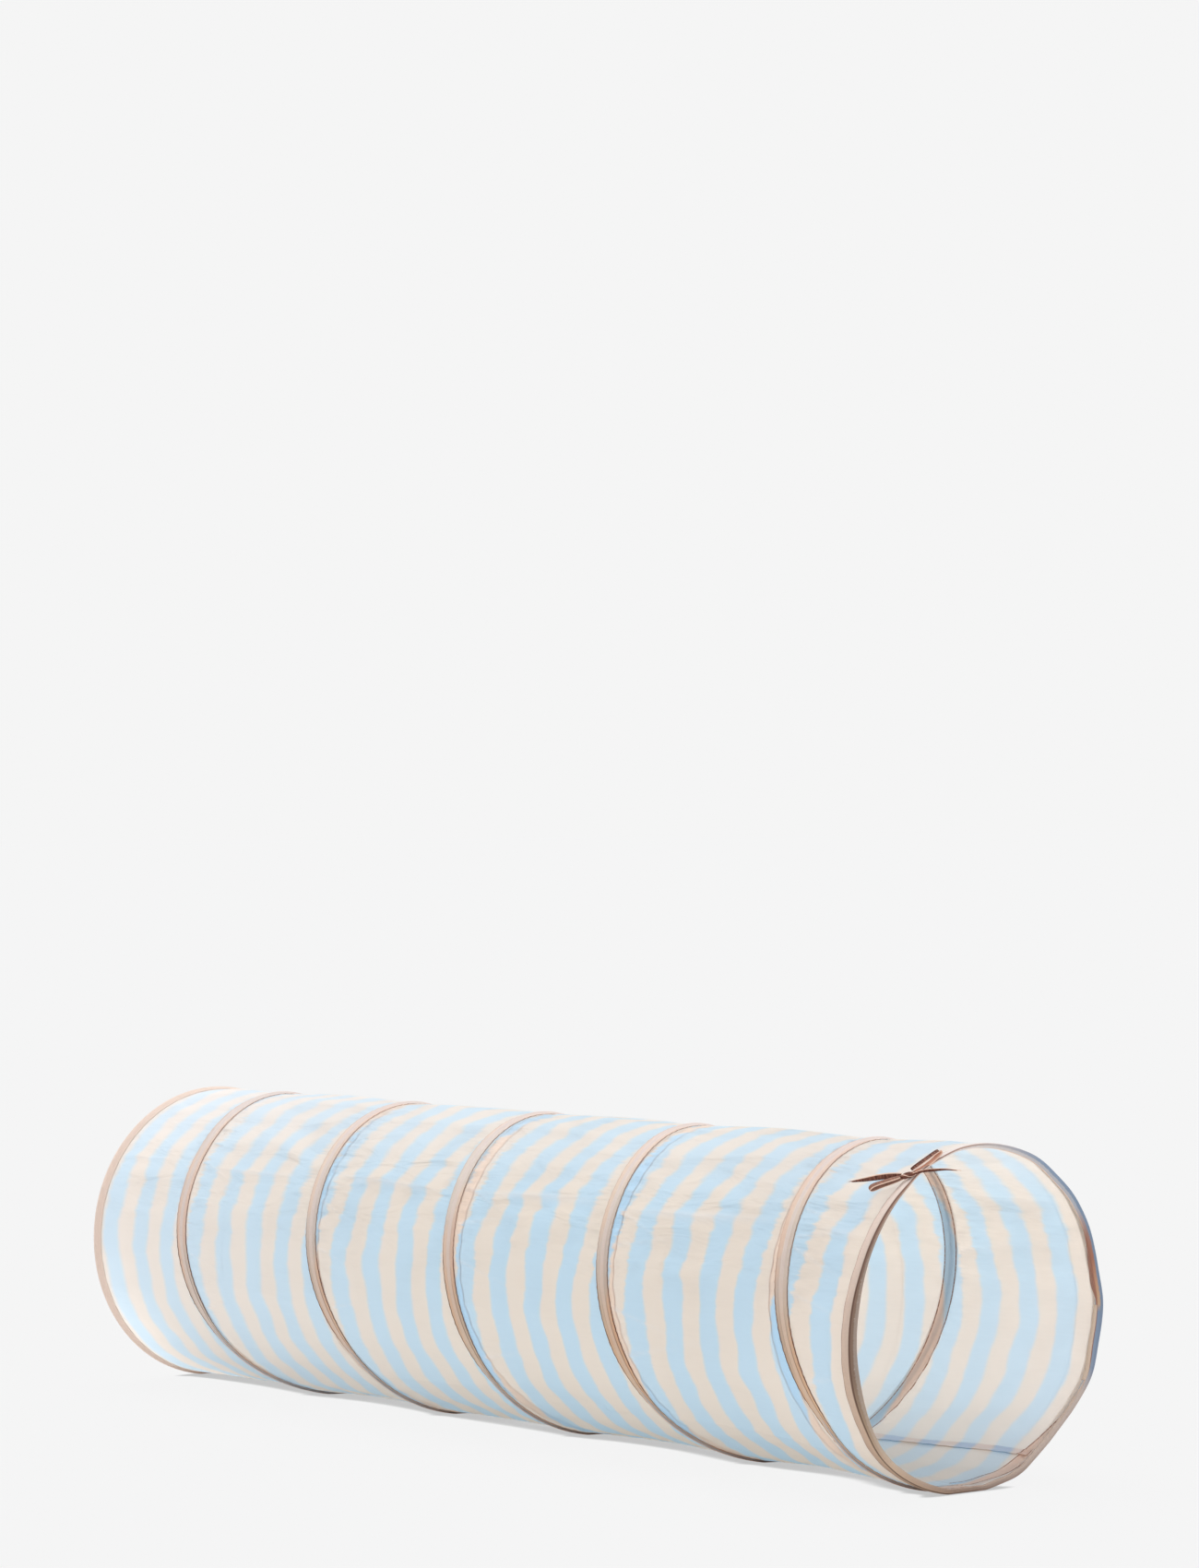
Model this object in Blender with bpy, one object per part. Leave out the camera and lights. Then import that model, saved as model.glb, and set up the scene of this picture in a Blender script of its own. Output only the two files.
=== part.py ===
"""A kids' play tunnel that folds flat: a striped fabric tube held open by one sprung wire.

The wire winds along the tube as a helix, in a tape casing sewn on the outside of the fabric, and closes
into a ring at each mouth. The tunnel lies along X with its front mouth at +X, on a flat foot at z = 0.
An angle round the tube starts at the foot and grows towards +Y, and the helix moves to +X as it grows.
The tube is made in sections between planes across it, because each turn closes up by itself.
"""

import math

import bmesh
import bpy
from mathutils import Vector

# Driving sizes of the tunnel
TUNNEL_LENGTH = 1.8
OUTER_RADIUS = 0.2315
FULL_TURNS = 5
FRONT_COLLAR_LENGTH = 0.0465

# Materials as they are bought
WIRE_DIAMETER = 0.003
TAPE_WIDTH = 0.025
TAPE_THICKNESS = 0.0006
FABRIC_THICKNESS = 0.0006
CLEARANCE = 0.0003

# The tube's facets: a wide one for the foot, and equal ones round the rest
FOOT_HALF_ANGLE = 8
FACETS_ROUND = 28
STEP_ANGLE = (360 - 2 * FOOT_HALF_ANGLE) / FACETS_ROUND

# The fabric between two turns of the wire
WAIST_DEPTH = 0.003
WAIST_FADE_LENGTH = 0.08
SEAM_ANGLE = 29
SEAM_WIDTH = 0.010
SEAM_THICKNESS = 0.0008

# The casing's bulge over the wire
BULGE_LEAN = 0.0015
WIRE_SIDES = 6

# The folded binding at each mouth
RIM_HEIGHT = 0.0135
RIM_DEPTH = 0.008
OUTER_LEG_WIDTH = 0.018
INNER_LEG_WIDTH = 0.014

# The tube that joins the wire's end to the ring, and the slit that it shows through
SLEEVE_RADIUS = 0.003
RING_WIRE_DEPTH = 0.0085
SLEEVE_BORE_RADIUS = WIRE_DIAMETER / 2 + CLEARANCE
SLEEVE_SIDES = 8
SLEEVE_ANGLES = (64, 91)
WIRE_END_GAP_ANGLE = 0.3
SLIT_ANGLES = (63, 115)
SLIT_MARGIN = 0.004

# The tie ribbon's bow on the front ring
RIBBON_WIDTH = 0.008
RIBBON_THICKNESS = 0.0008
RIBBON_TIP_SHARE = 0.35
RIBBON_STEPS = 5
KNOT_HALF_SIZES = (0.0085, 0.0075, 0.0045)
KNOT_SETBACK = 0.0095
KNOT_FACET = 16
KNOT_SIDES = 12
KNOT_RINGS = 8

# Worked out from the sizes above
HALF_LENGTH = TUNNEL_LENGTH / 2
WIRE_RADIUS = WIRE_DIAMETER / 2
FABRIC_RADIUS = OUTER_RADIUS - TAPE_THICKNESS - WIRE_DIAMETER - 2 * CLEARANCE
AXIS_HEIGHT = OUTER_RADIUS * math.cos(math.radians(FOOT_HALF_ANGLE))
HELIX_PITCH = (TUNNEL_LENGTH - FRONT_COLLAR_LENGTH) / FULL_TURNS
HELIX_START = -HALF_LENGTH
SLOPE_STRETCH = math.hypot(1, HELIX_PITCH / (2 * math.pi * FABRIC_RADIUS))
CASING_HALF = TAPE_WIDTH / 2 * SLOPE_STRETCH
CASING_SHARE = CASING_HALF / HELIX_PITCH
RING_EDGE = HALF_LENGTH - OUTER_LEG_WIDTH
FABRIC_END = HALF_LENGTH - TAPE_THICKNESS - 2 * SLEEVE_RADIUS - 2 * CLEARANCE
SEAM_END = HALF_LENGTH - INNER_LEG_WIDTH - CLEARANCE
RING_WIRE_X = HALF_LENGTH - TAPE_THICKNESS - CLEARANCE - SLEEVE_RADIUS
RING_WIRE_RADIUS = OUTER_RADIUS - RING_WIRE_DEPTH
CORNER_ANGLES = [FOOT_HALF_ANGLE + STEP_ANGLE * i for i in range(FACETS_ROUND + 1)]
STATION_ANGLES = [0] + CORNER_ANGLES

# How far the set spring's wire lies off an even helix, in shares of the pitch: a row for each turn from
# the rear mouth, with a value for each eighth of the turn
DRIFT_SHARES = (
    (0, 0.005, 0.010, 0.017, 0.023, 0.030, 0, 0.030),
    (0.035, 0.022, 0.010, 0, -0.010, -0.017, -0.034, 0.050),
    (0.050, 0.020, -0.015, -0.045, -0.063, -0.077, -0.068, -0.085),
    (-0.085, -0.080, -0.075, -0.070, -0.068, -0.056, -0.050, 0.012),
    (0, -0.008, 0.011, 0.023, 0.037, 0.034, 0.020, 0.006),
)
DRIFT_REACH_SHARE = max(abs(share) for row in DRIFT_SHARES for share in row)

# Colours from the photograph: red, green and blue, then roughness and metallic
FINISHES = {
    "striped_fabric": ((0.76, 0.83, 0.88), 0.75, 0),
    "casing_tape": ((0.66, 0.52, 0.43), 0.8, 0),
    "spring_wire": ((0.45, 0.45, 0.46), 0.35, 1),
    "joining_sleeve": ((0.62, 0.50, 0.38), 0.5, 0),
    "tie_ribbon": ((0.36, 0.20, 0.14), 0.7, 0),
}

# The ribbon's route in the bow, in metres from the knot's centre: along the tunnel, round it and out.
# The last column of each entry is the way that the ribbon's width lies.
RIBBON_ROUTES = {
    "bow_tail_left": (
        [(-0.0083, 0.0026, 0.0014), (-0.0235, 0.0110, 0.0050), (-0.0410, 0.0176, 0.0055),
         (-0.0590, 0.0239, 0.0051), (-0.0790, 0.0329, 0.0062)],
        (0.0, -0.51, 0.86),
    ),
    "bow_tail_right": (
        [(0.0089, -0.0028, 0.0014), (0.0180, -0.0125, 0.0004), (0.0255, -0.0242, -0.0051),
         (0.0335, -0.0377, -0.0130), (0.0415, -0.0488, -0.0218)],
        (0.35, 0.30, 0.55),
    ),
    "bow_loop_lower": (
        [(-0.0040, 0.0072, -0.0010), (-0.0110, 0.0210, 0.0010), (-0.0190, 0.0328, 0.0026),
         (-0.0262, 0.0421, 0.0032), (-0.0285, 0.0448, 0.0057), (-0.0262, 0.0399, 0.0084),
         (-0.0165, 0.0270, 0.0072), (-0.0048, 0.0085, 0.0036)],
        (0.87, 0.50, 0.0),
    ),
    "bow_loop_upper": (
        [(0.0018, -0.0078, -0.0010), (0.0050, -0.0243, -0.0030), (0.0070, -0.0411, -0.0035),
         (0.0082, -0.0551, -0.0025), (0.0078, -0.0585, -0.0007), (0.0066, -0.0552, 0.0014),
         (0.0045, -0.0338, 0.0023), (0.0018, -0.0088, 0.0030)],
        (1.0, 0.10, 0.0),
    ),
}


def facet_radius(angle, corner_radius):
    """How far from the axis a facet lies at this angle, when its corners lie at corner_radius."""
    turn = angle % 360
    if turn <= FOOT_HALF_ANGLE or turn >= 360 - FOOT_HALF_ANGLE:
        half, middle = FOOT_HALF_ANGLE, 0
    else:
        half = STEP_ANGLE / 2
        middle = FOOT_HALF_ANGLE + STEP_ANGLE * (int((turn - FOOT_HALF_ANGLE) / STEP_ANGLE) + 0.5)
    return corner_radius * math.cos(math.radians(half)) / math.cos(math.radians(turn - middle))


def place(x, angle, corner_radius):
    """The point at this angle on a tube of facets whose corners lie at corner_radius."""
    radius = facet_radius(angle, corner_radius)
    turn = math.radians(angle)
    return Vector((x, radius * math.sin(turn), AXIS_HEIGHT - radius * math.cos(turn)))


def smooth_between(a, b, c, d, t):
    """The smooth curve through b and c, at a share t of the way from b to c, as a and d bend it."""
    return 0.5 * (2 * b + (c - a) * t + (2 * a - 5 * b + 4 * c - d) * t**2 + (3 * b - a - 3 * c + d) * t**3)


def drift_share(angle):
    """The wire's drift off an even helix, in shares of the pitch, and none beyond the last full turn."""
    shares = [share for row in DRIFT_SHARES for share in row]
    eighth = 360 / len(DRIFT_SHARES[0])
    first = math.floor(angle / eighth)
    four = [shares[i] if 0 <= i < len(shares) else 0 for i in range(first - 1, first + 3)]
    return smooth_between(*four, angle / eighth - first)


def helix_x(angle):
    """Where the wire's centre line is along the tunnel, for an angle counted on from the rear mouth."""
    return HELIX_START + HELIX_PITCH * (angle / 360 + drift_share(angle))


def section_planes(number):
    """The low and high x of section 1 to FULL_TURNS, counted from the front mouth."""
    high = HALF_LENGTH - FRONT_COLLAR_LENGTH - (number - 1) * HELIX_PITCH
    low = high - HELIX_PITCH
    if number == FULL_TURNS:
        low = -RING_EDGE
    return low + CLEARANCE / 2, high - CLEARANCE / 2


def free_rows(angle, turn):
    """Where the fabric leaves one turn's casing, and where it meets the next one's."""
    return helix_x(angle + 360 * turn) + CASING_HALF, helix_x(angle + 360 * (turn + 1)) - CASING_HALF


def waist(x, angle):
    """How far the slack fabric draws in between two turns, and towards a mouth not at all."""
    for turn in range(-2, FULL_TURNS + 2):
        start, end = free_rows(angle, turn)
        if start < x < end:
            fade = min(1, max(0, (RING_EDGE - abs(x)) / WAIST_FADE_LENGTH))
            return WAIST_DEPTH * fade * math.sin(math.pi * (x - start) / (end - start))
    return 0


def material(name):
    """A plain finish in the photographed colour."""
    if name in bpy.data.materials:
        return bpy.data.materials[name]
    colour, roughness, metallic = FINISHES[name]
    made = bpy.data.materials.new(name)
    made.use_nodes = True
    shader = made.node_tree.nodes["Principled BSDF"]
    shader.inputs["Base Color"].default_value = (*colour, 1)
    shader.inputs["Roughness"].default_value = roughness
    shader.inputs["Metallic"].default_value = metallic
    made.diffuse_color = (*colour, 1)
    return made


def faces_axis(face):
    """Whether a face of an open sheet looks at the tunnel's axis."""
    middle = face.calc_center_median()
    return face.normal.dot(middle - Vector((middle.x, 0, AXIS_HEIGHT))) < 0


def finish(name, bm, finish_name, sharp_angle=40):
    """Turns a mesh into a named object with its material, shaded smooth, with its faces outwards."""
    bm.normal_update()
    if any(edge.is_boundary for edge in bm.edges):
        bmesh.ops.reverse_faces(bm, faces=[face for face in bm.faces if faces_axis(face)])
    else:
        bmesh.ops.recalc_face_normals(bm, faces=bm.faces)
    mesh = bpy.data.meshes.new(name)
    bm.to_mesh(mesh)
    bm.free()
    mesh.materials.append(material(finish_name))
    mesh.shade_smooth()
    mesh.set_sharp_from_angle(angle=math.radians(sharp_angle))
    made = bpy.data.objects.new(name, mesh)
    bpy.context.scene.collection.objects.link(made)
    return made


def loft(rings, closed):
    """A skin over rings of points: joined end to end if closed, otherwise capped at both ends."""
    bm = bmesh.new()
    rows = [[bm.verts.new(point) for point in ring] for ring in rings]
    count = len(rows[0])
    pairs = list(zip(rows, rows[1:]))
    if closed:
        pairs.append((rows[-1], rows[0]))
    for one, other in pairs:
        for i in range(count):
            j = (i + 1) % count
            bm.faces.new((one[i], one[j], other[j], other[i]))
    if not closed:
        bm.faces.new(rows[0][::-1])
        bm.faces.new(rows[-1])
    return bm


def cut_square(bm, low, high):
    """Cuts a closed solid off square at two planes across the tunnel."""
    for x, way in ((low, -1), (high, 1)):
        geometry = bm.verts[:] + bm.edges[:] + bm.faces[:]
        bmesh.ops.bisect_plane(bm, geom=geometry, plane_co=(x, 0, 0), plane_no=(way, 0, 0), clear_outer=True)
        rim = [edge for edge in bm.edges if edge.is_boundary]
        bmesh.ops.holes_fill(bm, edges=rim, sides=0)
    return bm


def stations_between(first, last):
    """The facets' corners, counted on over as many turns as lie between two angles."""
    turns = range(math.floor(first / 360) - 1, math.ceil(last / 360) + 1)
    return [a for turn in turns for a in (360 * turn + s for s in STATION_ANGLES) if first <= a <= last]


def casing_profile():
    """The casing tape across its width: two flat edges and a bulge over the wire, closed underneath."""
    under = FABRIC_RADIUS + CLEARANCE
    over = under + TAPE_THICKNESS
    bulge_under = under + WIRE_DIAMETER + CLEARANCE
    crown = (WIRE_RADIUS + CLEARANCE) * SLOPE_STRETCH
    base = crown + BULGE_LEAN
    wall = TAPE_THICKNESS
    outer = [(-CASING_HALF, over), (-base - wall, over), (-crown - wall / 2, OUTER_RADIUS)]
    inner = [(crown, bulge_under), (base, under), (CASING_HALF, under)]
    outer += [(-x, r) for x, r in outer[::-1]]
    inner = [(x, r) for x, r in inner[::-1]] + [(-x, r) for x, r in inner]
    return outer + inner


def wire_profile():
    """The round wire, cut where it crosses a plane through the tunnel's axis."""
    turns = [2 * math.pi * i / WIRE_SIDES for i in range(WIRE_SIDES)]
    middle = FABRIC_RADIUS + CLEARANCE + WIRE_RADIUS
    return [
        (WIRE_RADIUS * SLOPE_STRETCH * math.cos(turn), middle + WIRE_RADIUS * math.sin(turn))
        for turn in turns
    ]


def along_helix(profile, turn, last_share):
    """A profile carried along one turn of the helix, and a little past both of its ends."""
    overrun = 360 * (CASING_SHARE + DRIFT_REACH_SHARE) + STEP_ANGLE
    first = 360 * turn - overrun
    last = 360 * (turn + last_share) + overrun
    return loft(
        [
            [place(helix_x(angle) + x, angle, radius) for x, radius in profile]
            for angle in stations_between(first, last)
        ],
        closed=False,
    )


def helix_pieces(label, turn, last_share, low, high):
    """The casing and the wire of one turn, between two planes across the tunnel."""
    casing = cut_square(along_helix(casing_profile(), turn, last_share), low, high)
    finish(f"casing_{label}", casing, "casing_tape")
    wire = cut_square(along_helix(wire_profile(), turn, last_share), low, high)
    finish(f"wire_{label}", wire, "spring_wire")


def fabric_sheet(angles, low, high, inset):
    """An open sheet of fabric, laid out flat with its rows along the helix, then rolled into place.

    A row lies along both edges of each casing, so the casing's facets and the fabric's are parallel.
    """
    first = math.floor((low - HELIX_START) / HELIX_PITCH) - 2
    last = math.ceil((high - HELIX_START) / HELIX_PITCH) + 1
    bm = bmesh.new()
    columns = []
    for angle in angles:
        pairs = [free_rows(angle, turn) for turn in range(first, last + 1)]
        rows = [x for start, end in pairs for x in (start, (start + end) / 2, end)]
        columns.append([bm.verts.new((x, angle, 0)) for x in rows])
    for one, other in zip(columns, columns[1:]):
        for i in range(len(one) - 1):
            bm.faces.new((one[i], one[i + 1], other[i + 1], other[i]))
    fade_start = RING_EDGE - WAIST_FADE_LENGTH
    inner_rows = [x for x in (-RING_EDGE, -fade_start, fade_start, RING_EDGE) if low < x < high]
    for x in inner_rows:
        geometry = bm.verts[:] + bm.edges[:] + bm.faces[:]
        bmesh.ops.bisect_plane(bm, geom=geometry, plane_co=(x, 0, 0), plane_no=(1, 0, 0))
    for x, way in ((low, -1), (high, 1)):
        geometry = bm.verts[:] + bm.edges[:] + bm.faces[:]
        bmesh.ops.bisect_plane(bm, geom=geometry, plane_co=(x, 0, 0), plane_no=(way, 0, 0), clear_outer=True)
    for vertex in bm.verts:
        x, angle = vertex.co.x, vertex.co.y
        vertex.co = place(x, angle, FABRIC_RADIUS - inset - waist(x, angle))
    bmesh.ops.remove_doubles(bm, verts=bm.verts, dist=CLEARANCE / 10)
    return bm


def thicken(made, thickness):
    """Gives a sheet its thickness, inwards from the side that its faces point to."""
    solid = made.modifiers.new("Thickness", "SOLIDIFY")
    solid.thickness = thickness
    solid.offset = -1
    solid.use_even_offset = True


def sheet_piece(name, angles, low, high, inset, thickness):
    """A finished piece of striped fabric between two planes across the tunnel."""
    made = finish(name, fabric_sheet(angles, low, high, inset), "striped_fabric")
    thicken(made, thickness)


def fabric_pieces(panel_name, seam_name, low, high):
    """The fabric of one section, and the seam's folded edge on its inside."""
    sheet_piece(panel_name, STATION_ANGLES + [360], low, high, 0, FABRIC_THICKNESS)
    half = math.degrees(SEAM_WIDTH / 2 / FABRIC_RADIUS)
    edges = [SEAM_ANGLE - half, SEAM_ANGLE + half]
    low, high = max(low, -SEAM_END), min(high, SEAM_END)
    sheet_piece(seam_name, edges, low, high, FABRIC_THICKNESS + CLEARANCE, SEAM_THICKNESS)


def ring_profile(side):
    """The folded binding that makes a mouth's casing, open to the inside where the fabric enters it."""
    wall = TAPE_THICKNESS
    low, high = OUTER_RADIUS - RIM_HEIGHT, OUTER_RADIUS
    under = FABRIC_RADIUS + CLEARANCE
    inside = FABRIC_RADIUS - FABRIC_THICKNESS - CLEARANCE
    outer = [(OUTER_LEG_WIDTH, under + wall), (RIM_DEPTH, high), (0, high), (0, low), (RIM_DEPTH, low)]
    outer += [(INNER_LEG_WIDTH, inside - wall), (INNER_LEG_WIDTH, inside), (RIM_DEPTH, low + wall)]
    outer += [(wall, low + wall), (wall, high - wall), (RIM_DEPTH, high - wall), (OUTER_LEG_WIDTH, under)]
    return [(side * (HALF_LENGTH - depth), radius) for depth, radius in outer]


def ring_casing(name, side):
    """The binding all round one mouth."""
    rings = [[place(x, angle, r) for x, r in ring_profile(side)] for angle in STATION_ANGLES]
    return finish(name, loft(rings, closed=True), "casing_tape")


def cut_slit(casing, side):
    """Opens the inner leg of a mouth's casing where the joining sleeve lies."""
    near = HALF_LENGTH - 2 * TAPE_THICKNESS
    far = HALF_LENGTH - INNER_LEG_WIDTH - SLIT_MARGIN
    low = OUTER_RADIUS - RIM_HEIGHT - SLIT_MARGIN
    high = FABRIC_RADIUS - FABRIC_THICKNESS / 2
    profile = [(side * near, low), (side * near, high), (side * far, high), (side * far, low)]
    first, last = SLIT_ANGLES
    angles = [first] + stations_between(first, last) + [last]
    bm = loft([[place(x, angle, r) for x, r in profile] for angle in angles], closed=False)
    cutter = finish("slit_cutter", bm, "casing_tape")
    cutter.hide_render = True
    cutter.display_type = "WIRE"
    cut = casing.modifiers.new("Slit", "BOOLEAN")
    cut.operation = "DIFFERENCE"
    cut.object = cutter


def round_section(centre_x, centre_radius, radius, sides):
    """The points of a round bar or bore that runs round a mouth."""
    turns = [2 * math.pi * i / sides for i in range(sides)]
    return [(centre_x + radius * math.cos(t), centre_radius + radius * math.sin(t)) for t in turns]


def ring_wire(name, side):
    """The wire's closing turn at one mouth, whose two ends meet inside the joining sleeve."""
    middle = sum(SLEEVE_ANGLES) / 2
    first, last = middle + WIRE_END_GAP_ANGLE, middle + 360 - WIRE_END_GAP_ANGLE
    section = round_section(side * RING_WIRE_X, RING_WIRE_RADIUS, WIRE_RADIUS, WIRE_SIDES)
    angles = [first] + stations_between(first, last) + [last]
    rings = [[place(x, angle, r) for x, r in section] for angle in angles]
    finish(name, loft(rings, closed=False), "spring_wire")


def joining_sleeve(name, side):
    """The tube over the two ends of the ring's wire."""
    first, last = SLEEVE_ANGLES
    angles = [first] + stations_between(first, last) + [last]
    bm = bmesh.new()
    skins = []
    for radius in (SLEEVE_RADIUS, SLEEVE_BORE_RADIUS):
        section = round_section(side * RING_WIRE_X, RING_WIRE_RADIUS, radius, SLEEVE_SIDES)
        skins.append([[bm.verts.new(place(x, angle, r)) for x, r in section] for angle in angles])
    outside, bore = skins
    for skin in skins:
        for one, other in zip(skin, skin[1:]):
            for i in range(SLEEVE_SIDES):
                j = (i + 1) % SLEEVE_SIDES
                bm.faces.new((one[i], one[j], other[j], other[i]))
    for end in (0, -1):
        for i in range(SLEEVE_SIDES):
            j = (i + 1) % SLEEVE_SIDES
            bm.faces.new((outside[end][i], outside[end][j], bore[end][j], bore[end][i]))
    finish(name, bm, "joining_sleeve")


def knot_frame():
    """The knot's centre, and the ways along the tunnel, round it and out of it."""
    angle = FOOT_HALF_ANGLE + STEP_ANGLE * (KNOT_FACET + 0.5)
    turn = math.radians(angle)
    along = Vector((1, 0, 0))
    around = Vector((0, math.cos(turn), math.sin(turn)))
    out = Vector((0, math.sin(turn), -math.cos(turn)))
    seat = place(HALF_LENGTH - KNOT_SETBACK, angle, OUTER_RADIUS)
    return seat + out * (CLEARANCE + KNOT_HALF_SIZES[2]), (along, around, out)


def bow_knot():
    """The knot in the middle of the bow, resting on the front ring's casing."""
    centre, ways = knot_frame()
    bm = bmesh.new()
    bmesh.ops.create_uvsphere(bm, u_segments=KNOT_SIDES, v_segments=KNOT_RINGS, radius=1)
    for vertex in bm.verts:
        shares = [share * size for share, size in zip(vertex.co, KNOT_HALF_SIZES)]
        vertex.co = centre + sum((way * share for way, share in zip(ways, shares)), Vector())
    finish("bow_knot", bm, "tie_ribbon", sharp_angle=80)


def smooth_route(points):
    """A smooth curve through a route's points, with RIBBON_STEPS pieces between two of them."""
    ends = [2 * points[0] - points[1]] + points + [2 * points[-1] - points[-2]]
    route = []
    for a, b, c, d in zip(ends, ends[1:], ends[2:], ends[3:]):
        route += [smooth_between(a, b, c, d, step / RIBBON_STEPS) for step in range(RIBBON_STEPS)]
    return route + [points[-1]]


def ribbon(name, offsets, width_way):
    """A flat ribbon along a route from the knot."""
    centre, ways = knot_frame()
    points = [centre + sum((way * o for way, o in zip(ways, offset)), Vector()) for offset in offsets]
    across = sum((way * o for way, o in zip(ways, width_way)), Vector())
    route = smooth_route(points)
    rings = []
    for i, point in enumerate(route):
        tangent = (route[min(i + 1, len(route) - 1)] - route[max(i - 1, 0)]).normalized()
        width = (across - across.dot(tangent) * tangent).normalized()
        through = tangent.cross(width)
        free_tail = "tail" in name and i == len(route) - 1
        half = RIBBON_WIDTH / 2 * (RIBBON_TIP_SHARE if free_tail else 1)
        corners = ((-1, -1), (1, -1), (1, 1), (-1, 1))
        rings.append([point + width * half * a + through * RIBBON_THICKNESS / 2 * b for a, b in corners])
    finish(name, loft(rings, closed=False), "tie_ribbon")


def front_end():
    """What stays with the front mouth: its ring, collar, sleeve, the helix's last rise, and the bow."""
    low, high = HALF_LENGTH - FRONT_COLLAR_LENGTH + CLEARANCE / 2, FABRIC_END
    cut_slit(ring_casing("front_ring_casing", 1), 1)
    ring_wire("front_ring_wire", 1)
    joining_sleeve("front_joining_sleeve", 1)
    fabric_pieces("fabric_collar_front", "seam_collar_front", low, high)
    rise_share = FRONT_COLLAR_LENGTH / HELIX_PITCH
    helix_pieces("lead_in", FULL_TURNS, rise_share, low, RING_EDGE - CLEARANCE)
    bow_knot()
    for name, (offsets, width_way) in RIBBON_ROUTES.items():
        ribbon(name, offsets, width_way)


def turn_section(number):
    """One turn of the wire with its casing, the fabric that it holds open, and its seam."""
    low, high = section_planes(number)
    helix_pieces(f"turn_{number}", FULL_TURNS - number, 1, low, high)
    fabric_pieces(f"fabric_panel_{number}", f"seam_panel_{number}", low, high)


def rear_end():
    """The rear mouth: its ring, sleeve and collar."""
    ring_casing("rear_ring_casing", -1)
    ring_wire("rear_ring_wire", -1)
    joining_sleeve("rear_joining_sleeve", -1)
    fabric_pieces("fabric_collar_rear", "seam_collar_rear", -FABRIC_END, -RING_EDGE - CLEARANCE / 2)


for leftover in list(bpy.data.objects):
    bpy.data.objects.remove(leftover)
front_end()
for section in range(1, FULL_TURNS + 1):
    turn_section(section)
rear_end()
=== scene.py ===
import math

import bmesh
import bpy
import numpy as np
from mathutils import Matrix, Vector


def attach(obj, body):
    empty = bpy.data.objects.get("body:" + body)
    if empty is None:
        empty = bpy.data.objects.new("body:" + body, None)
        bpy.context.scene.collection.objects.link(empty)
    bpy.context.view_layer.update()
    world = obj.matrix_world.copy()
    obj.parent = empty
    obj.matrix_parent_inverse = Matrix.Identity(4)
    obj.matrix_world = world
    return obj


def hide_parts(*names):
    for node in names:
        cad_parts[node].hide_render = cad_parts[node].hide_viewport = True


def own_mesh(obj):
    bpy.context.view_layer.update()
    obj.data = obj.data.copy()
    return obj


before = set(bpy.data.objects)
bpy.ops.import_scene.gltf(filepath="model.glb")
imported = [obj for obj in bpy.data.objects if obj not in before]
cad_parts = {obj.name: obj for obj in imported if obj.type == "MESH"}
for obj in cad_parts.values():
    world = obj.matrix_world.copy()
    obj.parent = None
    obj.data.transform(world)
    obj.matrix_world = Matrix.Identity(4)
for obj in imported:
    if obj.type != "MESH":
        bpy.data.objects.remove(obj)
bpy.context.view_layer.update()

bpy.context.scene.view_settings.view_transform = "Standard"


# The camera stands to the front and to one side of the tunnel, low and far off, and looks level, so that the
# tunnel lies in the lower third of an upright picture.
CAMERA_PLACE = (5.736, -4.514, 0.9257)
CAMERA_TARGET = (0.0989, 0, 0.9443)
CAMERA_ROLL_DEGREES = -0.218
LENS_MM = 113.83
SENSOR_MM = 36

bpy.ops.object.camera_add(location=CAMERA_PLACE)
camera = bpy.context.object
sight = (Vector(CAMERA_TARGET) - Vector(CAMERA_PLACE)).to_track_quat("-Z", "Y").to_matrix()
camera.rotation_euler = (sight @ Matrix.Rotation(math.radians(CAMERA_ROLL_DEGREES), 3, "Z")).to_euler()
camera.data.lens = LENS_MM
camera.data.sensor_width = SENSOR_MM
camera.data.sensor_fit = "AUTO"
bpy.context.scene.camera = camera


# The tunnel's own measures, in metres: the radius over its rings, its axis over the floor, where it rests on a
# narrow flat, and how far its ends lie from the middle. The front ring's set fades out between two places.
OUTER_RADIUS = 0.2315
AXIS_HEIGHT = OUTER_RADIUS * math.cos(math.radians(8))
TUNNEL_END = 0.9
RING_ROUND_FROM, RING_ROUND_TO = 0.885, 0.62
RING_SMOOTHING = (-4, -2, 0, 2, 4)
MM = 0.001

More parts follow.
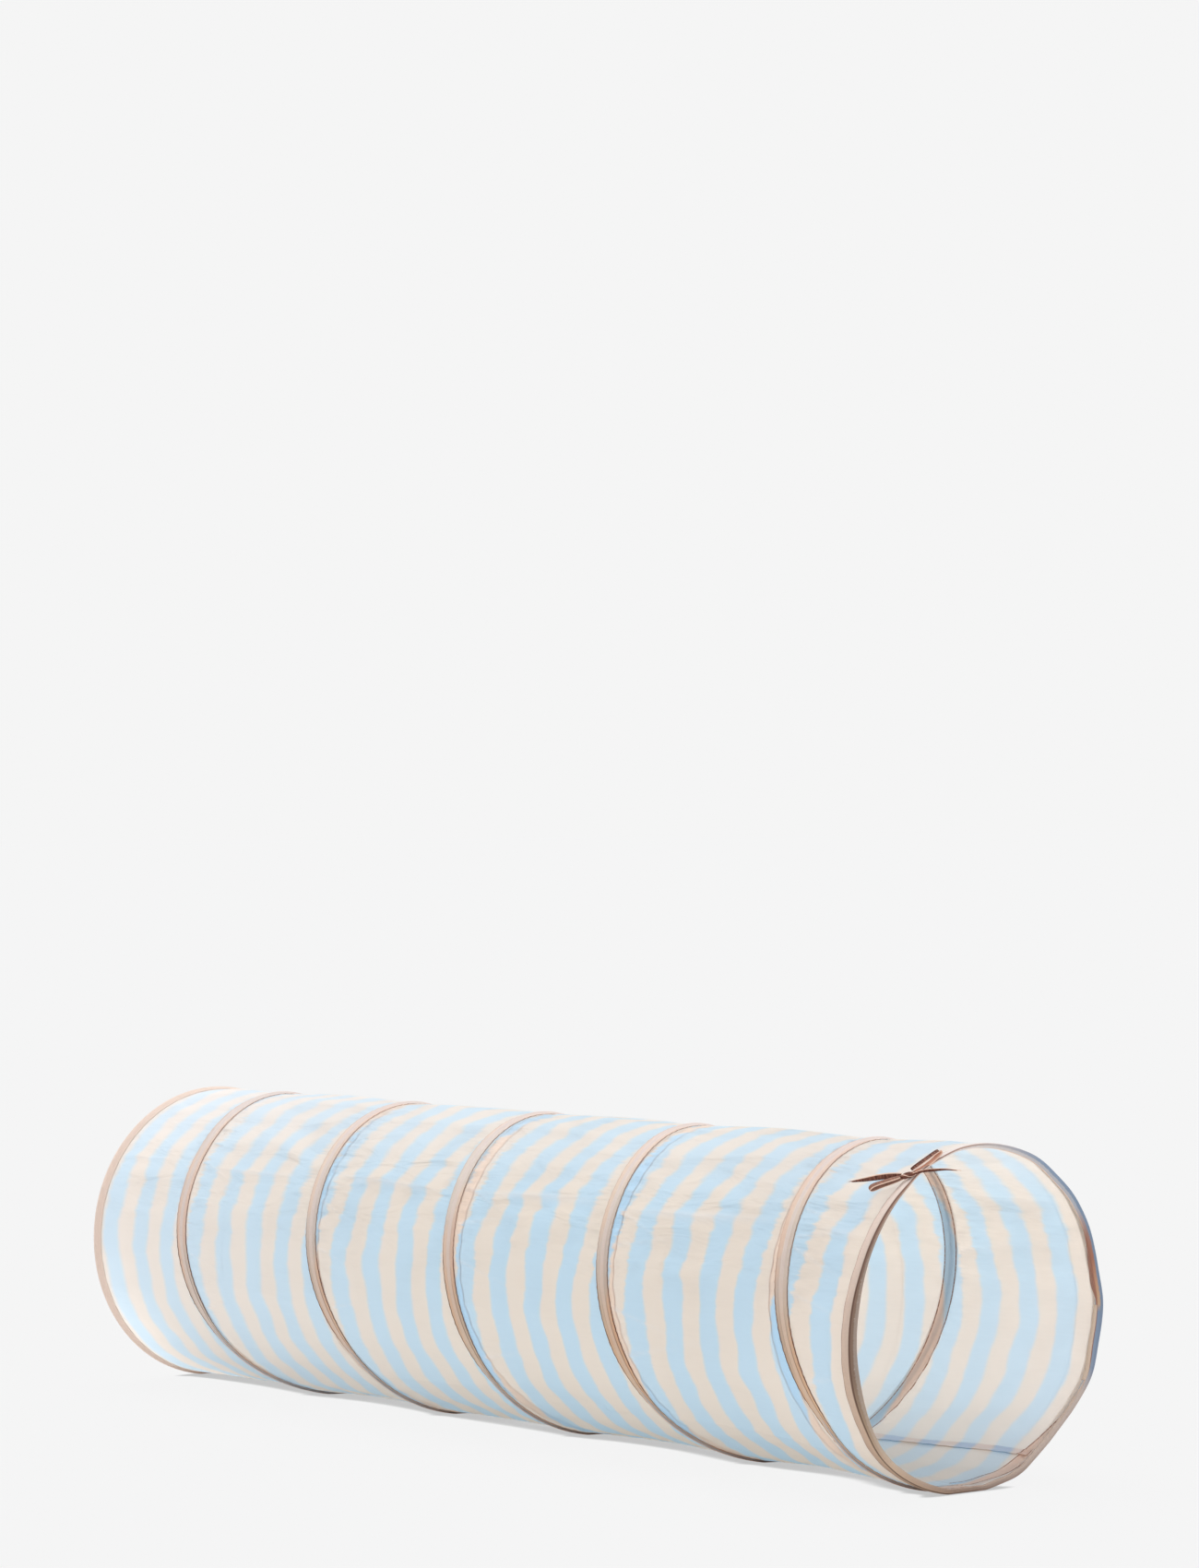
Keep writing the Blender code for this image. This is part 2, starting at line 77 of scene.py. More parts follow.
# The front ring, which its packing has left a little out of round, at angles counted from the floor over the
# far side: its radius, how deep its binding hangs across the mouth and reaches inside, and how deep its wire
# lies.
RING_FORM = np.array([
    (0, 231.0, 7, 9, 4.6), (12, 227.0, 7, 9, 4.6), (19, 229.0, 8, 9, 5), (30, 220.5, 8, 9, 5.5),
    (44, 218.3, 8.5, 9, 6), (58, 225.3, 9.5, 9, 7), (65, 231.0, 9, 9, 9), (69, 232.0, 10, 3, 11.5),
    (76, 229.0, 12, 3, 13.2), (91, 234.3, 12.8, 3, 13.2), (94, 234.6, 13.2, 17, 9),
    (100, 230.6, 12.8, 16, 6.5), (110, 232.5, 11.5, 12, 7), (117, 236.2, 12, 8, 8.5),
    (133, 238.4, 12, 9, 8.5), (141, 236.2, 12, 9, 8.5), (151, 239.0, 11, 9, 8), (163, 235.8, 9, 8, 6.5),
    (180, 233.5, 6.5, 8, 4.2), (190, 230.9, 4.4, 8, 2.2), (197, 227.2, 4.2, 8, 2.1),
    (205, 227.6, 4.2, 8, 2.1), (212, 223.9, 5, 8, 2.9), (222, 223.0, 7, 10, 4.6), (235, 221.7, 9, 10, 6.5),
    (250, 221.6, 10.5, 12, 8), (262, 226.0, 15, 12, 8.5), (275, 231.0, 16, 12, 8.5),
    (290, 237.6, 18, 12, 8.5), (303, 240.2, 13, 12, 8.5), (313, 245.0, 12, 12, 8.5),
    (323, 243.7, 11.5, 12, 8.5), (335, 239.5, 10, 10, 7.5), (347, 235.3, 8, 9, 5.5),
    (360, 231.0, 7, 9, 4.6),
]) * (1, MM, MM, MM, MM)

# The bow is one narrow woven ribbon in brown, tied round the front ring on the near upper side: a tight knot,
# two flat loops and two loose tails. It holds the tunnel shut when it is folded flat, and here it hangs free.
KNOT_ANGLE = 210.71
KNOT_X = 0.8905
KNOT_RADIUS = 0.2350
KNOT_HALF_SIZES = (0.0125, 0.0062, 0.0042)
KNOT_LEAN = -37
KNOT_WRAPS = 3
RIBBON_WIDTH = 0.008
RIBBON_THICKNESS = 0.0008
RIBBON_CUP = 0.0011
RIBBON_TIE_SHARE = 0.35
RIBBON_TIE_LENGTH = 0.006
RIBBON_CUT_SLANT = 0.004
RIBBON_TIP_SHARE = 0.12
RIBBON_TAPER_SHARE = 0.55
RIBBON_THREAD = 0.0005
RIBBON_STREAK = 0.02

# Each length of ribbon: its route from the knot (along the tunnel, round it and out), which way its width
# lies, its far end, and how much of the paler side its two faces show.
RIBBON_ROUTES = {
    "bow_tail_left": (
        [(-0.0083, 0.0026, 0.0014), (-0.0235, 0.0110, 0.0050), (-0.0410, 0.0176, 0.0055),
         (-0.0590, 0.0239, 0.0051), (-0.0790, 0.0329, 0.0062)],
        (0.0, -0.51, 0.86), "bare", (1.0, 0.0),
    ),
    "bow_tail_right": (
        [(0.0089, -0.0028, 0.0014), (0.0180, -0.0125, 0.0004), (0.0255, -0.0242, -0.0051),
         (0.0335, -0.0377, -0.0130), (0.0415, -0.0488, -0.0218)],
        (0.35, 0.30, 0.55), "bare", (0.0, 0.6),
    ),
    "bow_loop_lower": (
        [(-0.0040, 0.0072, -0.0010), (-0.0110, 0.0210, 0.0010), (-0.0190, 0.0328, 0.0026),
         (-0.0262, 0.0421, 0.0032), (-0.0285, 0.0448, 0.0057), (-0.0262, 0.0399, 0.0084),
         (-0.0165, 0.0270, 0.0072), (-0.0048, 0.0085, 0.0036)],
        (0.80, 0.50, -0.30), "object", (0.35, 0.2),
    ),
    "bow_loop_upper": (
        [(0.0018, -0.0078, -0.0010), (0.0050, -0.0243, -0.0030), (0.0070, -0.0411, -0.0035),
         (0.0082, -0.0551, -0.0025), (0.0078, -0.0585, -0.0007), (0.0066, -0.0552, 0.0014),
         (0.0045, -0.0338, 0.0023), (0.0018, -0.0088, 0.0030)],
        (0.95, 0.0, -0.30), "object", (0.0, 1.0),
    ),
}
RIBBON_STEPS = 8
RIBBON_COLUMNS = 9
# The ribbon's brown, the darker brown of its threads and of the painted shade along one edge, the tan of the
# painted highlight along its other edge, and its paler reverse.
RIBBON_BROWN = (0.26, 0.100, 0.060)
RIBBON_DARK = (0.070, 0.020, 0.012)
RIBBON_HIGHLIGHT_TAN = (0.92, 0.66, 0.50)
RIBBON_REVERSE = (0.74, 0.42, 0.29)


def add(tree, kind, inputs=(), **settings):
    """A shader node with its settings, and with each input given a value or a socket to take it from."""
    made = tree.nodes.new("ShaderNode" + kind)
    for name, value in settings.items():
        setattr(made, name, value)
    for name, value in dict(inputs).items():
        if isinstance(value, bpy.types.NodeSocket):
            tree.links.new(value, made.inputs[name])
        else:
            made.inputs[name].default_value = value
    return made


def maths(tree, operation, *values):
    """One sum on one to three values or sockets."""
    return add(tree, "Math", enumerate(values), operation=operation).outputs[0]


def times(tree, one, other):
    """The product of two values."""
    return maths(tree, "MULTIPLY", one, other)


def less(tree, one, other):
    """One value less another."""
    return maths(tree, "SUBTRACT", one, other)


def apart(tree, one, other):
    """How far apart two values are."""
    return maths(tree, "ABSOLUTE", less(tree, one, other))


def spread(tree, value, low, high, to_low=0.0, to_high=1.0):
    """A value carried over smoothly from one range to another."""
    return add(tree, "MapRange", {0: value, 1: low, 2: high, 3: to_low, 4: to_high},
               interpolation_type="SMOOTHSTEP").outputs[0]


def blended(tree, share, one, other):
    """One colour turning into another."""
    made = add(tree, "Mix", {0: share}, data_type="RGBA")
    for socket, value in ((made.inputs[6], one), (made.inputs[7], other)):
        if isinstance(value, bpy.types.NodeSocket):
            tree.links.new(value, socket)
        else:
            socket.default_value = (*value, 1)
    return made.outputs[2]


def blended_value(tree, share, one, other):
    """One value turning into another."""
    return add(tree, "Mix", {0: share, 2: one, 3: other}, data_type="FLOAT").outputs[0]


def ramp(tree, value, stops, full):
    """Colours along a value, from stops that are counted up to a full value."""
    made = add(tree, "ValToRGB", {0: maths(tree, "DIVIDE", value, full)})
    elements = made.color_ramp.elements
    while len(elements) < len(stops):
        elements.new(0.5)
    for element, (place, colour) in zip(elements, stops):
        element.position = place / full
        element.color = (*colour, 1)
    return made.outputs[0]


def noise(tree, place, scale=1.0, detail=3.0, **more):
    """Soft noise at a place."""
    return add(tree, "TexNoise", {"Vector": place, "Scale": scale, "Detail": detail, **more}).outputs[0]


def on_cloth(tree):
    """The place on the UV map: round the tunnel or along the ribbon, and across."""
    return add(tree, "SeparateXYZ", {0: add(tree, "UVMap").outputs[0]}).outputs


def in_space(tree):
    """The place in the tunnel's space, and its three measures."""
    here = add(tree, "TexCoord").outputs["Object"]
    return here, add(tree, "SeparateXYZ", {0: here}).outputs


def mark(tree, name):
    """A named value at a piece's points."""
    return add(tree, "Attribute", attribute_name=name).outputs["Fac"]


def new_group(name, inputs, outputs):
    """An empty group of shader nodes with its named sockets."""
    tree = bpy.data.node_groups.new(name, "ShaderNodeTree")
    for label, value in inputs.items():
        tree.interface.new_socket(label, in_out="INPUT", socket_type="NodeSocketFloat").default_value = value
    for label in outputs:
        tree.interface.new_socket(label, in_out="OUTPUT", socket_type="NodeSocketFloat")
    return tree, tree.nodes.new("NodeGroupInput"), tree.nodes.new("NodeGroupOutput")


# A plain weave: threads over and under each other, each a little uneven. It reads the cloth's own UV map,
# which is in metres: U runs round the tunnel or along the ribbon, and V across it.
STREAK_WIDTH = 0.0035
CLOTH_THREADS = {"Thread pitch": 0.0004, "Streak length": 0.06}

weave, given, handed = new_group("plain_weave", CLOTH_THREADS, ("Height", "Streaks"))
lengthways, crossways, _ = on_cloth(weave)
threads = [
    maths(weave, "SINE", maths(weave, "DIVIDE", times(weave, way, math.pi), given.outputs[0]))
    for way in (lengthways, crossways)
]
weave.links.new(maths(weave, "MULTIPLY_ADD", times(weave, *threads), 0.5, 0.5), handed.inputs[0])
stretched = add(weave, "CombineXYZ", {
    0: maths(weave, "DIVIDE", lengthways, STREAK_WIDTH),
    1: maths(weave, "DIVIDE", crossways, given.outputs[1]),
})
weave.links.new(noise(weave, stretched.outputs[0], Roughness=0.6), handed.inputs[1])


def new_material(name):
    """An empty material, its tree of nodes and its output."""
    made = bpy.data.materials.new(name)
    made.use_nodes = True
    made.node_tree.nodes.clear()
    return made, made.node_tree, made.node_tree.nodes.new("ShaderNodeOutputMaterial")


def show(tree, output, kind, inputs):
    """Puts one shader on a material."""
    tree.links.new(add(tree, kind, inputs).outputs[0], output.inputs[0])


def lit_through(tree, output, colour, raised, clear_share, sheen, roughness=0.75, sheen_roughness=0.4):
    """The finish of a thin matt cloth, which lets a share of the light through in its own colour."""
    face = add(tree, "BsdfPrincipled", {
        "Base Color": colour, "Roughness": roughness, "Specular IOR Level": 0.25, "Normal": raised,
        "Sheen Weight": sheen, "Sheen Roughness": sheen_roughness})
    through = add(tree, "BsdfTranslucent", {"Color": colour})
    show(tree, output, "MixShader", {0: clear_share, 1: face.outputs[0], 2: through.outputs[0]})


ribbon_finish, tree, output = new_material("brown_ribbon")
bumps, tones = add(tree, "Group", {0: RIBBON_THREAD, 1: RIBBON_STREAK}, node_tree=weave).outputs
across = on_cloth(tree)[1]
# A painted highlight along one edge of the ribbon, and painted shade along the other.
edge = spread(tree, across, RIBBON_WIDTH * 0.24, RIBBON_WIDTH * 0.40)
shaded_edge = spread(tree, across, -RIBBON_WIDTH * 0.26, -RIBBON_WIDTH * 0.42)
brown = blended(tree, spread(tree, tones, 0.35, 0.65), RIBBON_DARK, RIBBON_BROWN)
brown = blended(tree, mark(tree, "reverse"), brown, RIBBON_REVERSE)
highlit_and_shaded = blended(tree, times(tree, edge, 0.85), brown, RIBBON_HIGHLIGHT_TAN)
highlit_and_shaded = blended(tree, times(tree, shaded_edge, 0.8), highlit_and_shaded, RIBBON_DARK)
raised = add(tree, "Bump", {"Height": bumps, "Strength": 0.5, "Distance": 0.00015})
show(tree, output, "BsdfPrincipled", {
    "Base Color": highlit_and_shaded, "Roughness": 0.6, "Specular IOR Level": 0.2, "Normal": raised.outputs[0]})


def ring_form(column, angle):
    """One column of the ring's form at any angles, rounded off a little between its corners."""
    rounds = [np.interp((angle + off) % 360, RING_FORM[:, 0], RING_FORM[:, column]) for off in RING_SMOOTHING]
    return sum(rounds) / len(rounds)


def ring_swell(x, angle):
    """How far the set of the front ring's wire pushes a tube out near the mouth."""
    fade = np.clip((x - RING_ROUND_TO) / (RING_ROUND_FROM - RING_ROUND_TO), 0, 1)
    return fade * fade * (3 - 2 * fade) * (ring_form(1, angle) - OUTER_RADIUS)


knot_out = KNOT_RADIUS + float(ring_swell(np.array(KNOT_X), np.array(KNOT_ANGLE)))
knot_turn = math.radians(KNOT_ANGLE)
KNOT_WAYS = np.array([
    (1, 0, 0),
    (0, math.cos(knot_turn), math.sin(knot_turn)),
    (0, math.sin(knot_turn), -math.cos(knot_turn)),
])
knot_centre = np.array((KNOT_X, 0, AXIS_HEIGHT)) + knot_out * KNOT_WAYS[2]


def unit(ways):
    """Directions, each of length one."""
    return ways / np.linalg.norm(ways, axis=-1)[..., None]


def length_along(line):
    """How far along a line each of its points is."""
    return np.concatenate([[0], np.cumsum(np.linalg.norm(np.diff(line, axis=0), axis=1))])


def full_round(sides):
    """Angles evenly round a circle, in radians."""
    return np.arange(sides) * 2 * np.pi / sides


def smooth_between(a, b, c, d, t):
    """The smooth curve through b and c, at a share t of the way from b to c, as a and d bend it."""
    return 0.5 * (2 * b + (c - a) * t + (2 * a - 5 * b + 4 * c - d) * t**2 + (3 * b - a - 3 * c + d) * t**3)


def smooth_route(points, steps):
    """A smooth line through the points, with this many steps from each to the next."""
    ends = [2 * points[0] - points[1], *points, 2 * points[-1] - points[-2]]
    line = [
        smooth_between(*ends[i:i + 4], step / steps)
        for i in range(len(points) - 1) for step in range(steps)
    ]
    return np.array(line + [points[-1]])


def mesh_object(name, points, faces, uvs=None, normals=None, finish=None, marks=None):
    """A finished piece from its points and faces, shaded smooth, with a UV for each corner of each face.

    Marks are named values at its points, which its material reads.
    """
    mesh = bpy.data.meshes.new(name)
    mesh.from_pydata(np.asarray(points).reshape(-1, 3).tolist(), [], [list(face) for face in faces])
    mesh.shade_smooth()
    if uvs is not None:
        layer = mesh.uv_layers.new(name="UVMap")
        layer.data.foreach_set("uv", np.asarray(uvs, np.float32).reshape(-1))
    if normals is not None:
        mesh.normals_split_custom_set_from_vertices(np.asarray(normals).reshape(-1, 3).tolist())
    for label, values in (marks or {}).items():
        attribute = mesh.attributes.new(label, "FLOAT", "POINT")
        attribute.data.foreach_set("value", np.asarray(values, np.float32).reshape(-1))
    made = bpy.data.objects.new(name, mesh)
    bpy.context.scene.collection.objects.link(made)
    mesh.materials.append(finish)
    return made


def band(rows, columns, closed_rows=False, closed_columns=False):
    """The quads of a grid of points, as indices of points and as indices of their UVs on a grid one wider."""
    last_row, last_column = rows - (not closed_rows), columns - (not closed_columns)
    i, j = np.meshgrid(np.arange(last_row), np.arange(last_column), indexing="ij")
    corners = [(i, j), (i, j + 1), (i + 1, j + 1), (i + 1, j)]
    faces = np.stack([(a % rows) * columns + b % columns for a, b in corners], -1).reshape(-1, 4)
    spots = np.stack([a * (columns + 1) + b for a, b in corners], -1).reshape(-1, 4)
    return faces, spots


def ribbon(name, route, width_way, far_end, paleness):
    """A length of ribbon along a route from the knot: flat, a little cupped, and closed at both ends."""
    points = np.array(route) @ KNOT_WAYS + knot_centre
    line = smooth_route(points, RIBBON_STEPS)
    ahead = unit(np.gradient(line, axis=0))
    wide_way = np.array(width_way) @ KNOT_WAYS
    wide = unit(wide_way - (ahead @ wide_way)[:, None] * ahead)
    up = np.cross(ahead, wide)
    lengths = length_along(line)
    share = np.linspace(-1, 1, RIBBON_COLUMNS)
    pinch = 1 - RIBBON_TIE_SHARE * np.exp(-lengths / RIBBON_TIE_LENGTH)
    if far_end == "object":
        pinch -= RIBBON_TIE_SHARE * np.exp(-(lengths[-1] - lengths) / RIBBON_TIE_LENGTH)
    else:
        taper = np.clip((lengths[-1] - lengths) / (RIBBON_TAPER_SHARE * lengths[-1]), 0, 1) ** 0.7
        pinch *= RIBBON_TIP_SHARE + (1 - RIBBON_TIP_SHARE) * taper
    rings = []
    for i, centre in enumerate(line):
        slant = (RIBBON_CUT_SLANT * share if far_end == "bare" and i == len(line) - 1 else 0 * share)
        cup = RIBBON_CUP * (share**2 - 0.4) * (1 + 0.5 * math.sin(lengths[i] / 0.013))
        flat = centre + np.outer(share * RIBBON_WIDTH / 2 * pinch[i], wide[i]) + np.outer(slant, ahead[i])
        skin = RIBBON_THICKNESS / 2 * np.sqrt(np.maximum(0.12, 1 - share**6))
        front, back = (flat + np.outer(depth, up[i]) for depth in (cup + skin, cup - skin))
        rings.append(np.concatenate([front, back[::-1]]))
    count = 2 * RIBBON_COLUMNS
    faces, spots = band(len(rings), count, closed_columns=True)
    grid_v = np.concatenate([share, share[::-1], share[:1]]) * RIBBON_WIDTH / 2
    grid = np.stack(np.meshgrid(lengths, grid_v, indexing="ij"), -1).reshape(-1, 2)
    uvs = grid[spots].reshape(-1, 2).tolist() + [(0, 0)] * (2 * count)
    ends = [list(range(count)), list(range((len(rings) - 1) * count, len(rings) * count))[::-1]]
    reverse = np.tile(np.repeat(paleness, RIBBON_COLUMNS), len(rings))
    made = mesh_object(f"{name}_ribbon", rings, faces.tolist() + ends, uvs, None, ribbon_finish,
                       {"reverse": reverse})
    turn_outwards(made)
    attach(made, "front_end")
    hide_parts(name)


def turn_outwards(made):
    """Points the faces of a closed piece outwards."""
    bm = bmesh.new()
    bm.from_mesh(made.data)
    bmesh.ops.recalc_face_normals(bm, faces=bm.faces)
    bm.to_mesh(made.data)
    bm.free()


for name, (route, width_way, far_end, paleness) in RIBBON_ROUTES.items():
    ribbon(name, route, width_way, far_end, paleness)

bpy.ops.object.select_all(action="DESELECT")
bpy.ops.mesh.primitive_uv_sphere_add(segments=40, ring_count=24, radius=1)
knot = bpy.context.object
knot.name = knot.data.name = "bow_knot_wraps"
points = np.array([vertex.co for vertex in knot.data.vertices])
round_about = np.arctan2(points[:, 2], points[:, 1])
grooves = np.abs(np.sin(KNOT_WRAPS / 2 * round_about + 2.6 * points[:, 0])) ** 8
wraps = 1 - 0.16 * grooves - 0.10 * np.cos(2 * points[:, 0])
lean = Matrix.Rotation(math.radians(KNOT_LEAN), 3, "Z")
leaning = (points * wraps[:, None] * np.array(KNOT_HALF_SIZES)) @ np.array(lean.transposed())
shaped = leaning @ KNOT_WAYS + knot_centre
knot.data.vertices.foreach_set("co", shaped.reshape(-1))
corners = np.array([loop.vertex_index for loop in knot.data.loops])
ribbon_side = np.sin(KNOT_WRAPS * round_about + 5.2 * points[:, 0]) ** 3 * RIBBON_WIDTH / 2
spots = np.stack([round_about * KNOT_HALF_SIZES[1], ribbon_side], -1)[corners]
knot.data.uv_layers[0].data.foreach_set("uv", spots.astype(np.float32).reshape(-1))
turn_outwards(knot)
knot.data.shade_smooth()
knot.data.materials.append(ribbon_finish)
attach(knot, "front_end")
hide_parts("bow_knot")


# The fabric is one sheet of thin plain-weave polyester in light blue and beige stripes, sewn into a tube with
# its stripes round the tunnel. It is slack between the turns of the wire, so it draws in and ripples there.
# Each turn closes up by itself, so the tube is a panel for each turn, with a short collar at each mouth.
FULL_TURNS = 5
FRONT_COLLAR_LENGTH = 0.0465
HELIX_PITCH = (2 * TUNNEL_END - FRONT_COLLAR_LENGTH) / FULL_TURNS
HELIX_START = -TUNNEL_END
CASING_HALF = 0.01287
RING_EDGE = 0.882
FABRIC_END = 0.8928

# How far the wire has drifted off an even helix, in shares of the pitch: at every 45 degrees from the rear
# mouth on, with a row for each turn.
DRIFT_SHARES = np.array([
    (0, 0.005, 0.010, 0.017, 0.023, 0.007, -0.043, -0.027),
    (0.063, 0.022, 0.010, 0, -0.010, -0.040, -0.051, -0.021),
    (-0.021, 0.020, -0.015, -0.045, -0.063, -0.071, -0.082, -0.091),
    (-0.108, -0.080, -0.075, -0.070, -0.068, -0.056, -0.073, -0.055),
    (0.020, -0.008, 0.011, 0.023, 0.037, 0.014, 0.002, 0.052),
    (0.035, 0, 0, 0, 0, 0, 0, 0),
])
FABRIC_DEPTH = 0.0042
FABRIC_THICKNESS = 0.0005
WAIST_DEPTH = 0.0035
TOP_BULGE_SHARE = 2.0
STRIPE_PERIOD = 0.0769
STRIPE_START = -0.816
COLUMNS_ROUND = 396
ROW_STEP = 0.0037
FOLD_SHIFT = 0.006

# The cloth's folds. Flutes: how high, how many round the tunnel, and how far a turn and a metre shift them,
# and puckers the same but for the height. Long folds: at what angle, how wide in radians and how high.
# Wanders of the stripes: how far, how many, how far a metre shifts them, and where they start.
FLUTES = ((0.0013, 13, 1.9, 5), (0.0009, 23, -2.3, -7))
PUCKERS = ((41, 3.1, 18), (37, -1.7, -15))
PUCKER_HEIGHT = 0.0012
PUCKER_REACHES = (0.040, 0.025)
CASING_MARGIN = 0.006
UPPER_FOLD = (236, 0.07, 0.0024)
LOWER_FOLD = (316, 0.06, 0.0022)
FAR_FOLD = (128, 0.05, 0.0014)
UPPER_SWELL = (233, 0.20, 0.0030)
SHORT_FOLD_WIDTH = 0.030
SHORT_FOLD_REACH = 0.06
SHORT_FOLD_HEIGHT = 0.0013
WANDERS = ((0.0011, 14, 37, 0), (0.0008, 22, -53, 1), (0.0022, 5, 19, 2))
FOLD_LEANS = (
    (0.9, 226), (-0.7, 247), (1.2, 265), (0.5, 205), (-0.8, 292), (0.7, 100), (-0.9, 140), (1.6, 238),
    (-1.4, 216),
)
STRIPE_BLUE = (0.772, 0.917, 1.0)
STRIPE_BEIGE = (1.0, 0.922, 0.832)
PAINTED_LIGHT_PALE = (0.985, 0.98, 0.985)
SEAM_SHADE_BLUE = (0.42, 0.64, 0.86)
SEAM_SHADE_BEIGE = (0.93, 0.76, 0.65)
SEWN_CLEAR_SHARE = 0.46
# The painted shade of the casing as it shows through the cloth's reverse: tan over beige, deeper blue over
# blue.
CASING_SHADE_TAN = (0.98, 0.74, 0.60)
CASING_SHADE_BLUE = (0.60, 0.82, 1.0)
SEWN_BROWN = (0.36, 0.19, 0.13)

# Over these heights the cloth gets slacker, its stripes softer and paler with a painted highlight, and its
# inside, which is paler all over with painted light, gets less pale and more shaded with painted shade; near
# the floor its inside passes less light. Along the tunnel it is paler to the rear with painted light, and its
# inside darkens to the mouth with painted shade.
SLACK_HEIGHTS = (0.20, 0.36)
SOFT_HEIGHTS = (0.26, 0.42)
PALE_HEIGHTS = (0.33, 0.46)
INSIDE_HEIGHTS = (0.10, 0.40)
SHADED_HEIGHTS = (0.12, 0.42)
FLOOR_HEIGHTS = (0.12, 0.0)
TO_REAR = (0.3, -0.9)
TO_MOUTH = (0.3, 0.75)
STREAK_SIZES = (0.0055, 0.040)
CREASE_SLANT = 0.5
CREASE_SCALES = (9.0, 22.0, 34.0)
RIPPLES = ((38.0, 0.06), (12.0, 0.12))
SEWN_LINE_OFF = 0.0014


def drift_share(angle):
    """The wire's drift off an even helix, in shares of the pitch."""
    shares = np.pad(DRIFT_SHARES.reshape(-1), 3)
    step = angle / 45
    first = np.floor(step).astype(int)
    four = [shares[np.clip(first + offset + 3, 0, len(shares) - 1)] for offset in (-1, 0, 1, 2)]
    return smooth_between(*four, step - first)


def helix_x(angle):
    """Where the wire is along the tunnel, for an angle counted on from the rear mouth."""
    return HELIX_START + HELIX_PITCH * (angle / 360 + drift_share(angle))


def on_tube(x, angle, depth):
    """Points at a depth under the tunnel's outer skin, which is flat where it rests on the floor."""
    skin = OUTER_RADIUS + ring_swell(x, angle)
    turn = np.radians(angle)
    lift = np.maximum(0, skin * np.cos(turn) - AXIS_HEIGHT)
    radius = skin - depth
    return np.stack([x + 0 * radius, radius * np.sin(turn), AXIS_HEIGHT - radius * np.cos(turn) + lift], -1)


def crease(distance, width):
    """The height of a sharp fold, from one at its line to none at its width."""
    return np.maximum(0, 1 - np.abs(distance) / width) ** 2


def drape(x, angle):
    """How the slack cloth hangs between the casings: how deep, how gathered, and how sharply creased.

    Between two turns it draws in to a waist, with flutes and long creases, and it puckers beside each casing.
    """
    depth, gather, ridge = (np.zeros(np.broadcast(x, angle).shape) for _ in range(3))
    turn = np.radians(angle % 360)
    fade = np.clip((RING_EDGE - np.abs(x)) / 0.06, 0, 1)
    for number in range(-2, FULL_TURNS + 2):
        start = helix_x(angle % 360 + 360 * number) + CASING_HALF
        end = helix_x(angle % 360 + 360 * (number + 1)) - CASING_HALF
        share = (x - start) / np.maximum(end - start, 1e-6)
        inside = (share > 0) & (share < 1)
        share = np.clip(share, 0, 1)
        swell = np.sin(np.pi * share)
        after, before = share * (end - start), (1 - share) * (end - start)
        flutes = swell * sum(
            high * np.sin(many * turn + by_turn * number + by_x * x) for high, many, by_turn, by_x in FLUTES)
        beside_start, beside_end = (
            np.exp(-off / reach) * np.clip(off / CASING_MARGIN, 0, 1)
            for off, reach in zip((after, before), PUCKER_REACHES))
        puckers = PUCKER_HEIGHT * sum(
            np.sin(many * turn + by_turn * number + by_x * x) * beside
            for (many, by_turn, by_x), beside in zip(PUCKERS, (beside_start, beside_end)))
        wave = 0.020 * np.sin(9 * x + 1.3 * number)
        upper, lower, far = (
            crease(turn - math.radians(where) - sway * wave, wide) * swell
            for (where, wide, _), sway in ((UPPER_FOLD, 1), (LOWER_FOLD, -1.4), (FAR_FOLD, -1)))
        lower = lower * (0.4 + 0.6 * (x > 0.3))
        folds = UPPER_FOLD[2] * upper + LOWER_FOLD[2] * lower + FAR_FOLD[2] * far
        where, wide, high = UPPER_SWELL
        folds = folds + high * np.exp(-(((turn - math.radians(where) - wave) / wide) ** 2)) * swell
        lines = 0.8 * upper + 0.4 * far
        for lean, where in FOLD_LEANS:
            spot = math.radians(where + 7 * math.sin(2.3 * number + where))
            fold = crease(turn - spot - lean * after, SHORT_FOLD_WIDTH) * np.exp(-after / SHORT_FOLD_REACH)
            fold = fold * np.clip(after / CASING_MARGIN, 0, 1)
            folds = folds + SHORT_FOLD_HEIGHT * fold
            lines = lines + fold
        taut = 1 - TOP_BULGE_SHARE * np.exp(-(((turn - math.pi) / 0.75) ** 2))
        depth = depth + inside * fade * (WAIST_DEPTH * swell * taut + flutes + puckers - folds)
        gather = gather + inside * fade * np.maximum(beside_start, 0.7 * beside_end)
        ridge = ridge + inside * fade * np.minimum(lines, 1)
    return depth, gather, ridge


def slack(x, angle):
    """How deep the fabric hangs in from the casings."""
    return drape(x, angle)[0]


def fabric_face(x, angle):
    """The fabric's outer face."""
    return on_tube(x, angle, FABRIC_DEPTH + slack(x, angle))


def face_normals(face, x, angle):
    """Which way a face of the tube looks, outwards."""
    nudge_x, nudge_angle = 0.0006, 0.15
    along = face(x + nudge_x, angle) - face(x - nudge_x, angle)
    around = face(x, angle + nudge_angle) - face(x, angle - nudge_angle)
    return unit(np.cross(around, along))


def near_casing(x, angle):
    """How near a casing is: from none midway between two turns to a half at the wire."""
    return np.abs((x - helix_x(angle % 360)) / HELIX_PITCH % 1 - 0.5)


def stripe_wander(x, angle):
    """How far the slack cloth carries its stripes along the tunnel."""
    turn = np.radians(angle)
    casing = near_casing(x, angle)
    wander = sum(far * np.sin(many * turn + by_x * x + start) for far, many, by_x, start in WANDERS)
    return wander + 0.0020 * np.sin(9 * turn - 13 * x) * (0.4 + casing) + FOLD_SHIFT * drape(x, angle)[2]


def cloth_uvs(x, angle):
    """The cloth's UV map, in metres: U round the tunnel, and V along it as the stripes wander."""
    return np.stack([np.radians(angle) * OUTER_RADIUS, x + stripe_wander(x, angle)], -1).reshape(-1, 2)


